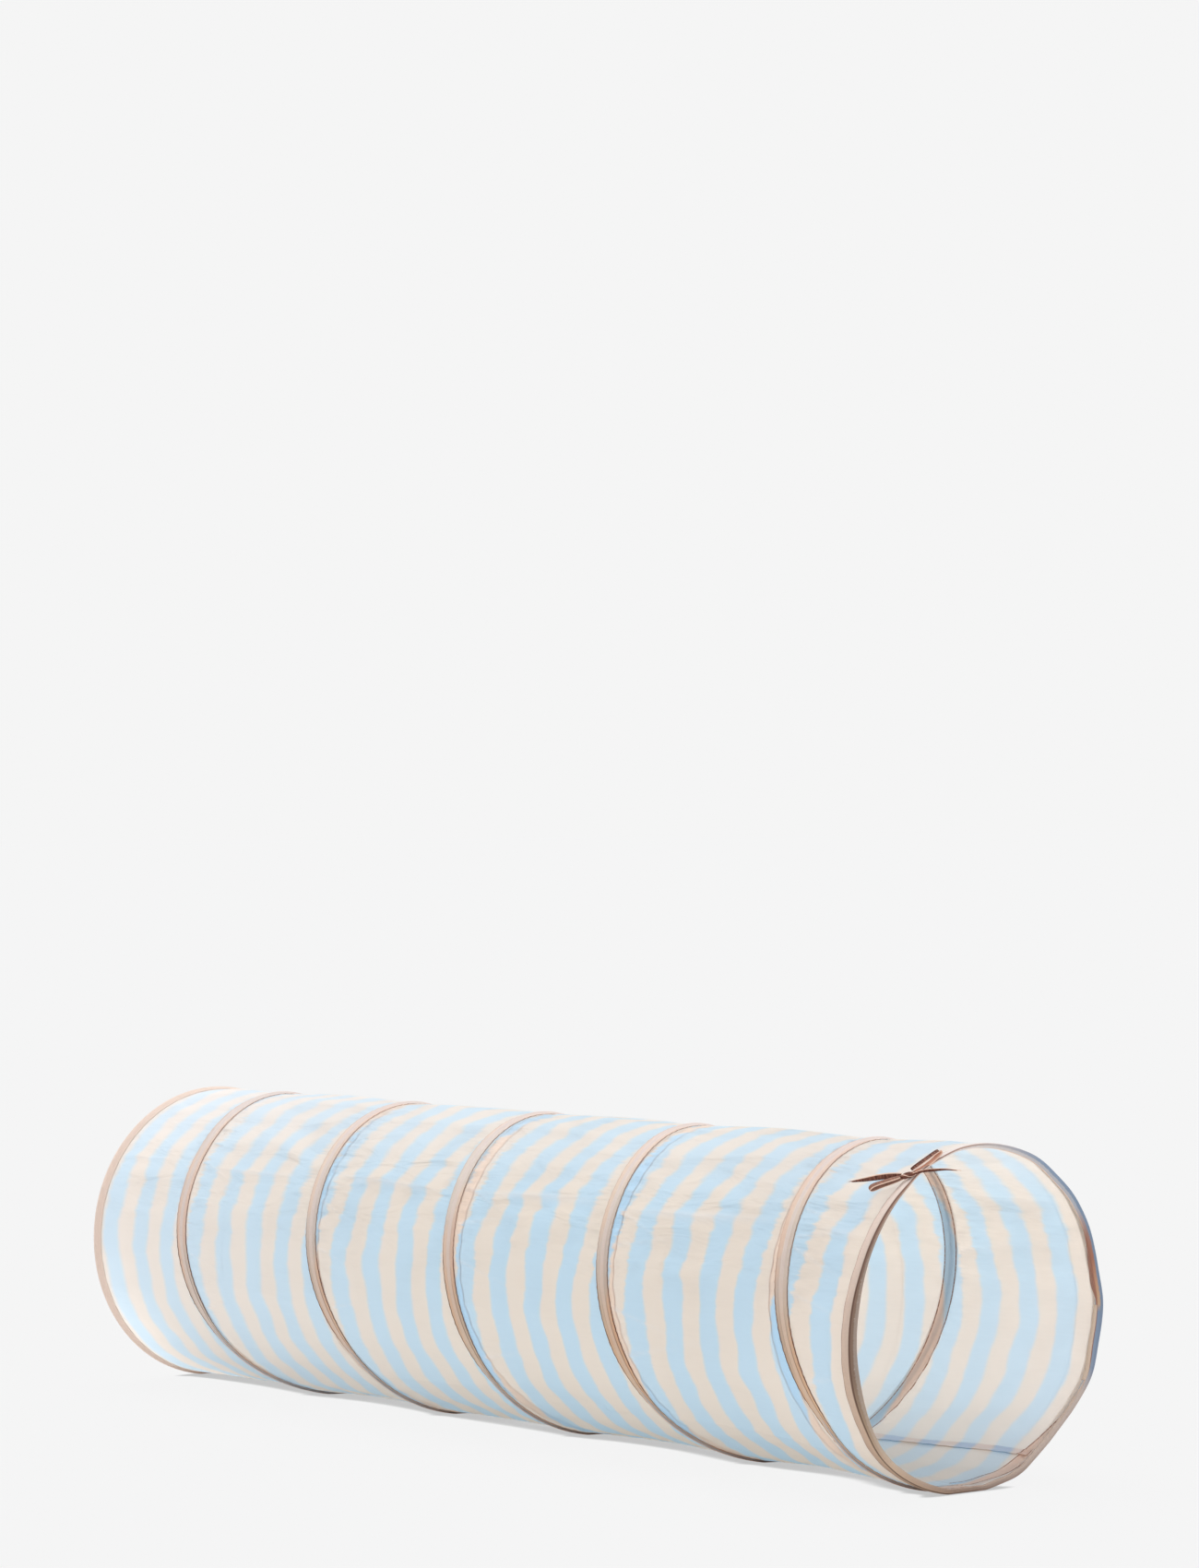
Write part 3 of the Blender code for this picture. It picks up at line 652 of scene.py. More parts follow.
def tube_shell(name, face, low, high, angles, thickness, finish, whole_turn=True):
    """A sheet of cloth on the tube between two planes, with its thickness inwards and its edges closed."""
    rows = max(3, round((high - low) / ROW_STEP) + 1)
    x, angle = np.meshgrid(np.linspace(low, high, rows), angles, indexing="ij")
    outer = face(x, angle)
    normals = face_normals(face, x, angle)
    inner = outer - thickness * normals
    columns = len(angles)
    faces, spots = band(rows, columns, closed_columns=whole_turn)
    wide = np.append(angles, angles[0] + 360)
    uv_x, uv_angle = np.meshgrid(np.linspace(low, high, rows), wide, indexing="ij")
    uvs = cloth_uvs(uv_x, uv_angle)
    total = rows * columns
    rims = []
    first_row, last_row = np.arange(columns), np.arange(columns) + (rows - 1) * columns
    steps = range(columns if whole_turn else columns - 1)
    for j in steps:
        k = (j + 1) % columns
        rims.append((first_row[k], first_row[j], first_row[j] + total, first_row[k] + total))
        rims.append((last_row[j], last_row[k], last_row[k] + total, last_row[j] + total))
    if not whole_turn:
        for i in range(rows - 1):
            a, b = i * columns, (i + 1) * columns
            rims.append((a, b, b + total, a + total))
            rims.append((b + columns - 1, a + columns - 1, a + columns - 1 + total, b + columns - 1 + total))
    points = np.concatenate([outer.reshape(-1, 3), inner.reshape(-1, 3)])
    rim_uvs = cloth_uvs(x, angle)[np.array(rims) % total].reshape(-1, 2)
    all_uvs = np.concatenate([uvs[spots].reshape(-1, 2), uvs[spots[:, ::-1]].reshape(-1, 2), rim_uvs])
    all_faces = faces.tolist() + (faces[:, ::-1] + total).tolist() + [list(map(int, rim)) for rim in rims]
    both = np.concatenate([normals.reshape(-1, 3), -normals.reshape(-1, 3)])
    _, gather, ridge = drape(x, angle)
    casing = HELIX_PITCH * (0.5 - near_casing(x, angle))
    marks = {"gather": [gather, gather], "ridge": [ridge, ridge], "reverse": [0 * ridge, 0 * ridge + 1],
             "casing": [casing, casing]}
    return mesh_object(name, points, all_faces, all_uvs, both, finish, marks)


def cloth_material(name, beige, blue, sheen, clear_share):
    """The striped cloth: stripes in two dyes with soft edges, uneven threads, a slight sheen and some light
    passing.

    Where it is gathered it has fine streaks, and its sharp creases carry a painted highlight. Painted light
    makes it paler on top, towards the rear and on its inside, and painted shade darkens its gathers and
    crumples and its upper inside. On its reverse the casing's stitches show, and between them it lets less
    light through and carries the casing's painted shade.
    """
    made, tree, output = new_material(name)
    round_tube, along_tube, _ = on_cloth(tree)
    here, (x, _, height) = in_space(tree)
    bumps, tones = add(tree, "Group", node_tree=weave).outputs
    reverse, casing = mark(tree, "reverse"), mark(tree, "casing")
    slackness = spread(tree, height, *SLACK_HEIGHTS, 0.2, 1.0)
    drawn = add(tree, "CombineXYZ", {
        0: maths(tree, "DIVIDE", round_tube, STREAK_SIZES[0]),
        1: maths(tree, "DIVIDE", along_tube, STREAK_SIZES[1]),
    })
    streaks = less(tree, noise(tree, drawn.outputs[0], Roughness=0.55), 0.5)
    drawn_up = times(tree, streaks, times(tree, mark(tree, "gather"), slackness))
    slanted = add(tree, "Mapping", {"Vector": here, "Rotation": (0, CREASE_SLANT, 0), "Scale": CREASE_SCALES})
    crumple = times(tree, less(tree, noise(tree, slanted.outputs[0], Distortion=0.6), 0.5), slackness)

    count = maths(tree, "DIVIDE", less(tree, along_tube, STRIPE_START), STRIPE_PERIOD)
    for scale, reach in RIPPLES:
        count = maths(tree, "MULTIPLY_ADD", less(tree, noise(tree, here, scale, 2.0), 0.5), reach, count)
    for shift, reach in ((drawn_up, 0.8), (crumple, 0.45)):
        count = maths(tree, "MULTIPLY_ADD", shift, reach, count)
    middle = apart(tree, maths(tree, "FRACT", maths(tree, "ADD", count, 0.5)), 0.5)
    soft = spread(tree, height, *SOFT_HEIGHTS, 0.045, 0.095)
    soft = maths(tree, "ADD", soft, spread(tree, x, *TO_REAR, 0.0, 0.04))
    soft = maths(tree, "MULTIPLY_ADD", reverse, 0.03, soft)
    blue_share = spread(tree, middle, less(tree, 0.25, soft), maths(tree, "ADD", 0.25, soft))
    colour = blended(tree, blue_share, beige, blue)

    # Painted light: paler on top, towards the rear and all over the inside, and a painted highlight on the
    # sharp creases.
    pale = spread(tree, height, *PALE_HEIGHTS, 0.0, 0.26)
    pale = maths(tree, "ADD", pale, spread(tree, x, *TO_REAR, 0.0, 0.20))
    pale = maths(tree, "MULTIPLY_ADD", reverse, spread(tree, height, *INSIDE_HEIGHTS, 0.60, 0.42), pale)
    pale = maths(tree, "MAXIMUM", times(tree, mark(tree, "ridge"), 0.55), pale)
    colour = blended(tree, pale, colour, PAINTED_LIGHT_PALE)
    sewn_on = times(tree, spread(tree, casing, CASING_HALF + 0.0004, CASING_HALF - 0.0004), reverse)
    stitched = spread(tree, apart(tree, casing, CASING_HALF - SEWN_LINE_OFF), 0.0015, 0.0008)
    stitched = times(tree, times(tree, stitched, reverse), spread(tree, tones, 0.3, 0.6, 0.5, 0.95))
    # Painted shade of the casing behind the cloth, seen on its reverse.
    colour = blended(tree, times(tree, sewn_on, 0.6), colour, blended(tree, blue_share, CASING_SHADE_TAN, CASING_SHADE_BLUE))
    colour = blended(tree, stitched, colour, SEWN_BROWN)

    # The tone varies at random and with the threads, and painted shade darkens the gathers and crumples, and
    # the upper inside towards the mouth.
    level = maths(tree, "MULTIPLY_ADD", noise(tree, here, 9.0), 0.05, 0.95)
    for shift, reach in ((tones, 0.05), (drawn_up, 0.45), (crumple, 0.14)):
        level = maths(tree, "MULTIPLY_ADD", shift, reach, level)
    shaded = times(tree, spread(tree, height, *SHADED_HEIGHTS), spread(tree, x, *TO_MOUTH, 0.25, 1.0))
    level = times(tree, level, blended_value(tree, times(tree, reverse, shaded), 1.0, 0.88))
    level = maths(tree, "MINIMUM", level, 1.0)
    dye_and_painted_light = add(tree, "VectorMath", {0: colour, 3: level}, operation="SCALE").outputs[0]
    threads = add(tree, "Bump", {"Height": bumps, "Strength": 0.35, "Distance": 0.0001})
    raised = add(tree, "Bump", {
        "Height": maths(tree, "MULTIPLY_ADD", crumple, 2.4, drawn_up), "Strength": 1.0, "Distance": 0.005,
        "Normal": threads.outputs[0]})
    low_reverse = times(tree, reverse, spread(tree, height, *FLOOR_HEIGHTS))
    clear = blended_value(tree, low_reverse, clear_share, 0.82 * clear_share)
    clear = blended_value(tree, sewn_on, clear, SEWN_CLEAR_SHARE)
    lit_through(tree, output, dye_and_painted_light, raised.outputs[0], clear, sheen, 0.7, 0.35)
    return made


striped_cloth = cloth_material("striped_cloth", STRIPE_BEIGE, STRIPE_BLUE, 0.18, 0.68)
ROUND_ANGLES = np.arange(COLUMNS_ROUND) * 360 / COLUMNS_ROUND
planes = [TUNNEL_END - FRONT_COLLAR_LENGTH - HELIX_PITCH * k for k in range(FULL_TURNS)] + [-RING_EDGE]
BODIES = ["turn_1", "turn_2", "turn_3", "turn_4", "rear_end"]


def close_up(piece, number):
    """Makes a section's piece ride on its turn, and draw together as that turn closes."""
    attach(piece, BODIES[number - 1])
    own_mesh(piece)


def cloth_pieces(name, replaced, cloth_end, face, angles, thickness, finish, whole_turn=True):
    """A piece of cloth for each turn's panel and for the collar at each mouth, by the turn or the mouth."""
    places = [("panel", number, planes[number], planes[number - 1]) for number in range(1, FULL_TURNS + 1)]
    places += [("collar", "front", planes[0], cloth_end), ("collar", "rear", -cloth_end, -RING_EDGE)]
    made = {}
    for kind, where, low, high in places:
        piece = tube_shell(name.format(kind=kind, where=where), face, low, high, angles, thickness, finish,
                           whole_turn)
        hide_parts(f"{replaced}_{kind}_{where}")
        if kind == "panel":
            close_up(piece, where)
        else:
            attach(piece, f"{where}_end")
        made[where] = piece
    return made


panels = cloth_pieces("{kind}_{where}_cloth", "fabric", FABRIC_END, fabric_face, ROUND_ANGLES,
                      FABRIC_THICKNESS, striped_cloth)


# The seam is where the sheet's two long edges meet, low on the far side: both are folded in and stitched flat
# on the inside, so it shows as a narrow double strip of the same cloth.
SEAM_ANGLE = 29
SEAM_WIDTH = 0.013
SEAM_LIFT = 0.0025
SEAM_END = 0.8857
SEAM_THICKNESS = 0.0008


def seam_face(x, angle):
    """The seam's face towards the fabric, with the fold's thick edges and thin middle."""
    off = np.radians(angle - SEAM_ANGLE) * OUTER_RADIUS / (SEAM_WIDTH / 2)
    lift = SEAM_LIFT * np.clip(-off, 0, 1) * (0.7 + 0.3 * np.sin(31 * x))
    ripple = 0.0003 * np.sin(210 * x) * off**2 + lift
    return on_tube(x, angle, FABRIC_DEPTH + FABRIC_THICKNESS + 0.0002 + slack(x, angle) + ripple)


# The seam's stripes are the cloth's own, darkened with painted shade of the double layer.
folded_cloth = cloth_material("folded_cloth", SEAM_SHADE_BEIGE, SEAM_SHADE_BLUE, 0.05, 0.45)
seam_half = math.degrees(SEAM_WIDTH / 2 / OUTER_RADIUS)
seam_angles = np.linspace(SEAM_ANGLE - seam_half, SEAM_ANGLE + seam_half, 7)
seams = cloth_pieces("seam_{where}_fold", "seam", SEAM_END, seam_face, seam_angles, SEAM_THICKNESS,
                     folded_cloth, whole_turn=False)


# The casing is a woven tape, 25 mm wide, in a pinkish tan. It is sewn down along both edges on the outside of
# the fabric, and bulges over the wire that runs through it. The wire is 3 mm sprung steel.
TAPE_THICKNESS = 0.0006
TAPE_PINCH_SHARE = 0.45
TAPE_LEG_DEPTH = 0.0033
BULGE_HALF = 0.0038
WIRE_DEPTH = 0.0024
WIRE_RADIUS = 0.0015
WIRE_SIDES = 12
ANGLE_STEP = 0.9
SLOPE_STRETCH = 1.0298
TAPE_THREAD = 0.0006
TAPE_STREAK = 0.012
TAPE_LINE_OFF = 0.0042
# The tape's colours by height, paler on top with painted light and browner towards the floor with painted
# shade; the pale of the painted light towards the rear; and its reverse.
TAPE_SHADED_TONES = [
    (0.0, (0.72, 0.42, 0.28)), (0.03, (0.92, 0.66, 0.50)), (0.07, (0.98, 0.76, 0.60)),
    (0.115, (0.91, 0.71, 0.53)), (0.17, (0.86, 0.65, 0.48)), (0.21, (0.87, 0.67, 0.51)),
    (0.29, (0.91, 0.76, 0.65)), (0.38, (0.98, 0.87, 0.77)), (0.45, (1.0, 0.875, 0.80)),
]
TAPE_LIT_PALE = (1.0, 0.90, 0.83)
TAPE_REVERSE = (0.99, 0.96, 0.93)
# The brown of stitches and darker threads, and of the painted shade at the tape's edges and beside its bulge.
STITCH_AND_SHADE_BROWN = (0.24, 0.105, 0.060)
REVERSE_SHIFT = 1.0
TAPE_CLEAR_SHARE = 0.62


def tape_material(name):
    """Woven binding tape: a tight ribbed weave, with dark sewn edges and some light passing. Painted light
    makes it paler on top and towards the rear, and painted shade browner towards the floor, deeper along its
    edges and, low down, in lines beside the wire's bulge.

    Its reverse, which is paler, has its UV map's V shifted far out.
    """
    made, tree, output = new_material(name)
    bumps, tones = add(tree, "Group", {0: TAPE_THREAD, 1: TAPE_STREAK}, node_tree=weave).outputs
    across = on_cloth(tree)[1]
    reverse = spread(tree, across, 0.4 * REVERSE_SHIFT, 0.6 * REVERSE_SHIFT)
    off = maths(tree, "ABSOLUTE", across)
    here, (x, _, height) = in_space(tree)
    uneven = less(tree, noise(tree, here, 45.0), 0.5)
    # Painted light and shade by height, with tone varying at random, and painted light towards the rear.
    colour = ramp(tree, maths(tree, "MULTIPLY_ADD", uneven, 0.06, height), TAPE_SHADED_TONES, TAPE_SHADED_TONES[-1][0])
    colour = blended(tree, spread(tree, x, 0.4, -0.9, 0.0, 0.6), colour, TAPE_LIT_PALE)
    # The sewn edges are dark, with painted shade deepest at middle heights and painted light on one side on
    # top; low down, the lines beside the wire's bulge are painted shade.
    edge = spread(tree, maths(tree, "MULTIPLY_ADD", uneven, 0.002, off), 0.0105, 0.0114)
    lit_edge_side = times(tree, spread(tree, across, 0.001, -0.001), spread(tree, height, 0.22, 0.34, 0.1, 0.8))
    edge = times(tree, edge, less(tree, 1.0, lit_edge_side))
    edge_share = spread(tree, height, 0.30, 0.20, 0.65, 1.0)
    edge_share = times(tree, edge_share, spread(tree, height, 0.03, 0.12, 0.6, 1.0))
    line = spread(tree, apart(tree, off, TAPE_LINE_OFF), 0.0012, 0.0003)
    line = times(tree, line, spread(tree, height, 0.27, 0.16, 0.0, 0.6))
    dark = maths(tree, "MAXIMUM", times(tree, edge, edge_share), line)
    dark = times(tree, spread(tree, tones, 0.15, 0.5, 0.4, 1.0), dark)
    dark = maths(tree, "MULTIPLY_ADD", less(tree, 1.0, tones), 0.08, dark)
    colour = blended(tree, add(tree, "Clamp", {0: dark}).outputs[0], colour, STITCH_AND_SHADE_BROWN)
    colour = blended(tree, reverse, colour, TAPE_REVERSE)
    raised = add(tree, "Bump", {"Height": bumps, "Strength": 0.5, "Distance": 0.0002})
    clear = spread(tree, off, 0.0026, 0.0050, 0.18, TAPE_CLEAR_SHARE)
    lit_through(tree, output, colour, raised.outputs[0], clear, 0.15)
    return made


tan_tape = tape_material("tan_tape")
wire_steel, tree, output = new_material("spring_steel")
grain = noise(tree, add(tree, "TexCoord").outputs["Object"], 900.0, 2.0)
show(tree, output, "BsdfPrincipled", {
    "Base Color": blended(tree, grain, (0.36, 0.36, 0.37), (0.56, 0.56, 0.57)), "Metallic": 1.0,
    "Roughness": spread(tree, grain, 0.2, 0.8, 0.28, 0.45)})


def tape_ring(angle):
    """The tape across its width at one angle: offsets along the tunnel, depths and widths for the UV map."""
    low = np.interp(angle % 360, (0, 14, 284, 312, 350, 360), (0.7, 0, 0, 1, 1, 0.7))
    pinch = 1 - TAPE_PINCH_SHARE * low * low * (3 - 2 * low)
    across = np.array([-1, -0.96, -0.86, -0.72, -0.55, -0.42, -0.34, -0.26, -0.18, -0.09, 0,
                       0.09, 0.18, 0.26, 0.34, 0.42, 0.55, 0.72, 0.86, 0.96, 1]) * CASING_HALF
    bulge = np.where(np.abs(across) < BULGE_HALF, np.cos(np.pi * across / (2 * BULGE_HALF)) ** 2, 0)
    leg = np.clip((np.abs(across) - 0.0045) / 0.008, 0, 1)
    turn = math.radians(angle)
    waves = np.sin(113 * turn + 2 * np.sign(across)) + 0.6 * np.sin(92.3 * turn + 300 * across)
    pucker = 0.00045 * leg * waves
    fray = 1 + 0.012 * math.sin(167 * turn) * (np.abs(across) > 0.95 * CASING_HALF)
    outer = TAPE_LEG_DEPTH * (1 - bulge) - np.maximum(0, pucker) * 0.9
    offsets = np.concatenate([across * fray, (across * fray)[::-1]]) * pinch
    depths = np.concatenate([outer, (outer + TAPE_THICKNESS)[::-1]])
    return offsets, depths, np.concatenate([across, across[::-1] + REVERSE_SHIFT])


def wire_ring(angle):
    """The round wire, cut where it crosses a plane through the tunnel's axis."""
    turns = full_round(WIRE_SIDES)
    offsets = WIRE_RADIUS * SLOPE_STRETCH * np.cos(turns)
    return offsets, WIRE_DEPTH - WIRE_RADIUS * np.sin(turns), offsets


def helix_solid(name, ring_of, low, high, first_angle, last_angle, finish):
    """A profile carried along the helix: laid out flat, cut off square at two planes, and rolled up."""
    angles = np.arange(first_angle, last_angle + ANGLE_STEP, ANGLE_STEP)
    bm = bmesh.new()
    uv_layer = bm.loops.layers.uv.new("UVMap")
    rows, widths = [], []
    for angle in angles:
        offsets, depths, across = ring_of(angle)
        x = float(helix_x(np.array(angle)))
        rows.append([bm.verts.new((x + offset, angle, depth)) for offset, depth in zip(offsets, depths)])
        widths.append(across)
    count = len(rows[0])
    for i in range(len(rows) - 1):
        for j in range(count):
            k = (j + 1) % count
            face = bm.faces.new((rows[i][j], rows[i][k], rows[i + 1][k], rows[i + 1][j]))
            face.smooth = True
            length = math.radians(ANGLE_STEP) * OUTER_RADIUS
            spots = ((i, j), (i, k), (i + 1, k), (i + 1, j))
            for loop, (a, b) in zip(face.loops, spots):
                loop[uv_layer].uv = (a * length, widths[a][b])
    bm.faces.new(rows[0][::-1])
    bm.faces.new(rows[-1])
    for x, way in ((low, -1), (high, 1)):
        geometry = bm.verts[:] + bm.edges[:] + bm.faces[:]
        bmesh.ops.bisect_plane(bm, geom=geometry, plane_co=(x, 0, 0), plane_no=(way, 0, 0), clear_outer=True)
        bmesh.ops.holes_fill(bm, edges=[edge for edge in bm.edges if edge.is_boundary], sides=0)
    flat = np.array([vertex.co for vertex in bm.verts])
    rolled = on_tube(flat[:, 0], flat[:, 1], flat[:, 2])
    for vertex, point in zip(bm.verts, rolled):
        vertex.co = point
    bmesh.ops.recalc_face_normals(bm, faces=bm.faces)
    mesh = bpy.data.meshes.new(name)
    bm.to_mesh(mesh)
    bm.free()
    mesh.shade_smooth()
    mesh.set_sharp_from_angle(angle=math.radians(60))
    mesh.materials.append(finish)
    made = bpy.data.objects.new(name, mesh)
    bpy.context.scene.collection.objects.link(made)
    return made


# Both are cut into a section for each turn, and section 0, the lead-in that rises to the front ring. Each is
# made longer than its section by an overrun in degrees, and then cut off.
OVERRUN = 70
HELIX_PIECES = (
    ("tape", "casing", tape_ring, tan_tape, "casing_tape"),
    ("steel", "wire", wire_ring, wire_steel, "spring_wire"),
)
for number in (*range(1, FULL_TURNS + 1), 0):
    section = f"turn_{number}" if number else "lead_in"
    low = planes[number]
    high = planes[number - 1] if number else RING_EDGE
    first, last = FULL_TURNS - number, FULL_TURNS - max(0, number - 1)
    for stuff, replaced, ring_of, finish, slot in HELIX_PIECES:
        piece = helix_solid(f"{section}_{stuff}", ring_of, low, high, 360 * first - OVERRUN,
                            360 * last + OVERRUN, finish)
        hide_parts(f"{replaced}_{section}")
        if number:
            close_up(piece, number)
        else:
            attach(piece, "front_end")


# Each mouth is finished with the same tape, folded over the fabric's edge round a closed ring of the wire: an
# outer leg, a flange across the mouth, and an inner leg that lies on the inside of the fabric. At the front
# the wire hangs loose in it, so its flange is deep on the near side and thin on top. A slit is left for the
# sleeve.
RIM_HEIGHT = 0.0135
OUTER_LEG_WIDTH = 0.018
INNER_LEG_WIDTH = 0.014
INNER_LEG_DEPTH = 0.0062
FULL_LEG = 0.009
RING_WIRE_SETBACK = 0.0039
RING_WIRE_DEPTH = 0.0085
RING_WIRE_STEP = 1.5
RING_COLUMNS = 480

# The ring's tape carries painted light and shade by angle: paler on top, tan on the near side and browner
# towards the floor. Its flange is in painted shade, brown near and blue-grey far, where it is the blue cloth
# wrapped round the wire, and in the slit the flange and inner leg are brown with painted shade. Colours by
# angle for the outer leg, the flange's two halves and the inner leg.
LEG_SHADED_TONES = [
    (0, (0.62, 0.42, 0.30)), (40, (0.80, 0.60, 0.45)), (90, (0.92, 0.76, 0.62)), (150, (0.98, 0.86, 0.76)),
    (182, (0.98, 0.92, 0.87)), (210, (1.0, 0.88, 0.79)), (235, (0.92, 0.77, 0.66)),
    (270, (0.84, 0.67, 0.54)), (300, (0.81, 0.61, 0.45)), (322, (0.77, 0.55, 0.38)),
    (340, (0.66, 0.44, 0.30)),
]
WEB_OUTER_TONES = [
    (0, (0.42, 0.29, 0.22)), (30, (0.62, 0.49, 0.41)), (60, (0.62, 0.52, 0.45)), (69, (0.24, 0.32, 0.43)),
    (110, (0.22, 0.31, 0.42)), (150, (0.31, 0.41, 0.53)), (172, (0.62, 0.57, 0.54)),
    (186, (0.58, 0.40, 0.32)), (207, (0.50, 0.31, 0.24)), (216, (0.42, 0.25, 0.18)),
    (240, (0.28, 0.18, 0.13)), (285, (0.26, 0.175, 0.12)), (303, (0.46, 0.33, 0.22)),
    (320, (0.80, 0.60, 0.42)), (336, (0.68, 0.48, 0.33)), (350, (0.44, 0.30, 0.22)),
]
WEB_INNER_TONES = [
    (0, (0.50, 0.37, 0.29)), (30, (0.70, 0.57, 0.48)), (60, (0.68, 0.57, 0.49)), (69, (0.30, 0.38, 0.48)),
    (89, (0.24, 0.33, 0.45)), (91, (0.66, 0.44, 0.27)), (98, (0.62, 0.36, 0.22)), (108, (0.44, 0.19, 0.12)),
    (117, (0.42, 0.24, 0.19)), (128, (0.50, 0.53, 0.57)), (150, (0.62, 0.61, 0.61)),
    (172, (0.80, 0.74, 0.69)), (188, (0.97, 0.91, 0.86)), (207, (0.92, 0.80, 0.71)),
    (216, (0.60, 0.44, 0.35)), (240, (0.42, 0.32, 0.25)), (285, (0.40, 0.33, 0.27)),
    (303, (0.55, 0.44, 0.33)), (320, (0.80, 0.62, 0.45)), (336, (0.66, 0.48, 0.35)),
    (350, (0.46, 0.33, 0.25)),
]
INNER_TONES = [
    (0, (0.62, 0.45, 0.35)), (30, (0.80, 0.64, 0.53)), (66, (0.80, 0.62, 0.49)), (72, (0.45, 0.22, 0.15)),
    (115, (0.42, 0.19, 0.13)), (125, (0.85, 0.66, 0.53)), (150, (0.96, 0.74, 0.59)),
    (185, (0.94, 0.78, 0.67)), (230, (0.84, 0.68, 0.57)), (300, (0.74, 0.57, 0.45)),
]
# The slit; the colours of the painted shade in the slit and in the rim's fold on top, of the stitches, of the
# outer leg's edge and of the loose threads; and how fine the strands are.
SLIT_ANGLES = (64, 118)
SLIT_SHADE_BROWN = (0.24, 0.105, 0.070)
FOLD_SHADE_BROWN = (0.13, 0.07, 0.05)
SEWN_RING_BROWN = (0.30, 0.12, 0.08)
LEG_LINE_BROWN = (0.45, 0.26, 0.20)
LOOSE_THREAD = (0.62, 0.50, 0.41)
STRANDS_ROUND = 260.0
STRANDS_ACROSS = 1.6


def ring_profile(angle, front):
    """The binding's outer skin at one angle: how far back from the mouth, how deep, and in which part."""
    turn = math.radians(angle)
    ruck = 0.0003 * math.sin(61 * turn) + 0.0002 * math.sin(97 * turn + 1)
    nick = 0.0004 * math.sin(37 * turn + 2)
    rim, leg = RIM_HEIGHT, INNER_LEG_WIDTH
    if front:
        rim, leg = (float(ring_form(column, np.array(angle))) for column in (2, 3))
    leg_depth = rim + (INNER_LEG_DEPTH - rim) * min(1, leg / FULL_LEG)
    skin = [
        (OUTER_LEG_WIDTH + nick, 0.0033, 0.0), (0.0150, 0.0031 - abs(ruck), 0.2),
        (0.0115, 0.0016 - ruck, 0.4), (0.0085, 0.0003, 0.55), (0.0050, 0.0, 0.7),
        (0.0022, 0.0002, 0.85), (0.0006, 0.0009, 1.0),
    ]
    for share in (0.12, 0.3, 0.5, 0.7, 0.88):
        back = 0.0002 * math.sin(9 * share + 23 * turn) ** 2 + abs(ruck) * share * 0.6
        skin.append((back, 0.0009 + (rim - 0.0018) * share, 1 + share))
    skin.append((0.0006, rim - 0.0007, 2.0))
    for share in (0.0, 0.25, 0.5, 0.75, 1.0):
        depth = rim + (leg_depth - rim) * share**1.3 + ruck * math.sin(math.pi * share)
        skin.append((0.0022 + (leg + nick - 0.0022) * share, depth, 2.1 + 0.9 * share))
    return np.array(skin)


def ring_piece(name, side, finish):
    """A mouth's folded binding, as a closed solid of the tape's thickness.

    Its attributes say where each point is in its three parts, and whether it is on the tape's reverse.
    """
    angles = np.arange(RING_COLUMNS) * 360 / RING_COLUMNS
    rings, lengths_round, parts = [], [], []
    for angle in angles:
        profile = ring_profile(angle, side > 0)
        skin = profile[:, :2]
        ahead = unit(np.gradient(skin, axis=0))
        under = skin + np.stack([ahead[:, 1], -ahead[:, 0]], -1) * TAPE_THICKNESS
        both = np.concatenate([skin, under[::-1]])
        lengths = length_along(skin)
        lengths_round.append(np.concatenate([lengths, lengths[::-1], lengths[:1]]))
        parts.append(np.concatenate([profile[:, 2], profile[::-1, 2]]))
        x = side * (TUNNEL_END - both[:, 0])
        rings.append(on_tube(x, np.full(len(x), angle), both[:, 1]))
    count = len(rings[0])
    faces, spots = band(len(rings), count, closed_rows=True, closed_columns=True)
    across = np.array(lengths_round + lengths_round[:1])
    around = np.append(np.radians(angles), 2 * np.pi)[:, None] * OUTER_RADIUS + 0 * across
    grid = np.stack([around, across], -1).reshape(-1, 2)
    marks = {"part": parts, "reverse": np.tile(np.repeat((0.0, 1.0), count // 2), len(rings))}
    uvs = grid[spots].reshape(-1, 2)
    made = mesh_object(name, rings, faces.tolist(), uvs, None, finish, marks)
    turn_outwards(made)
    return made


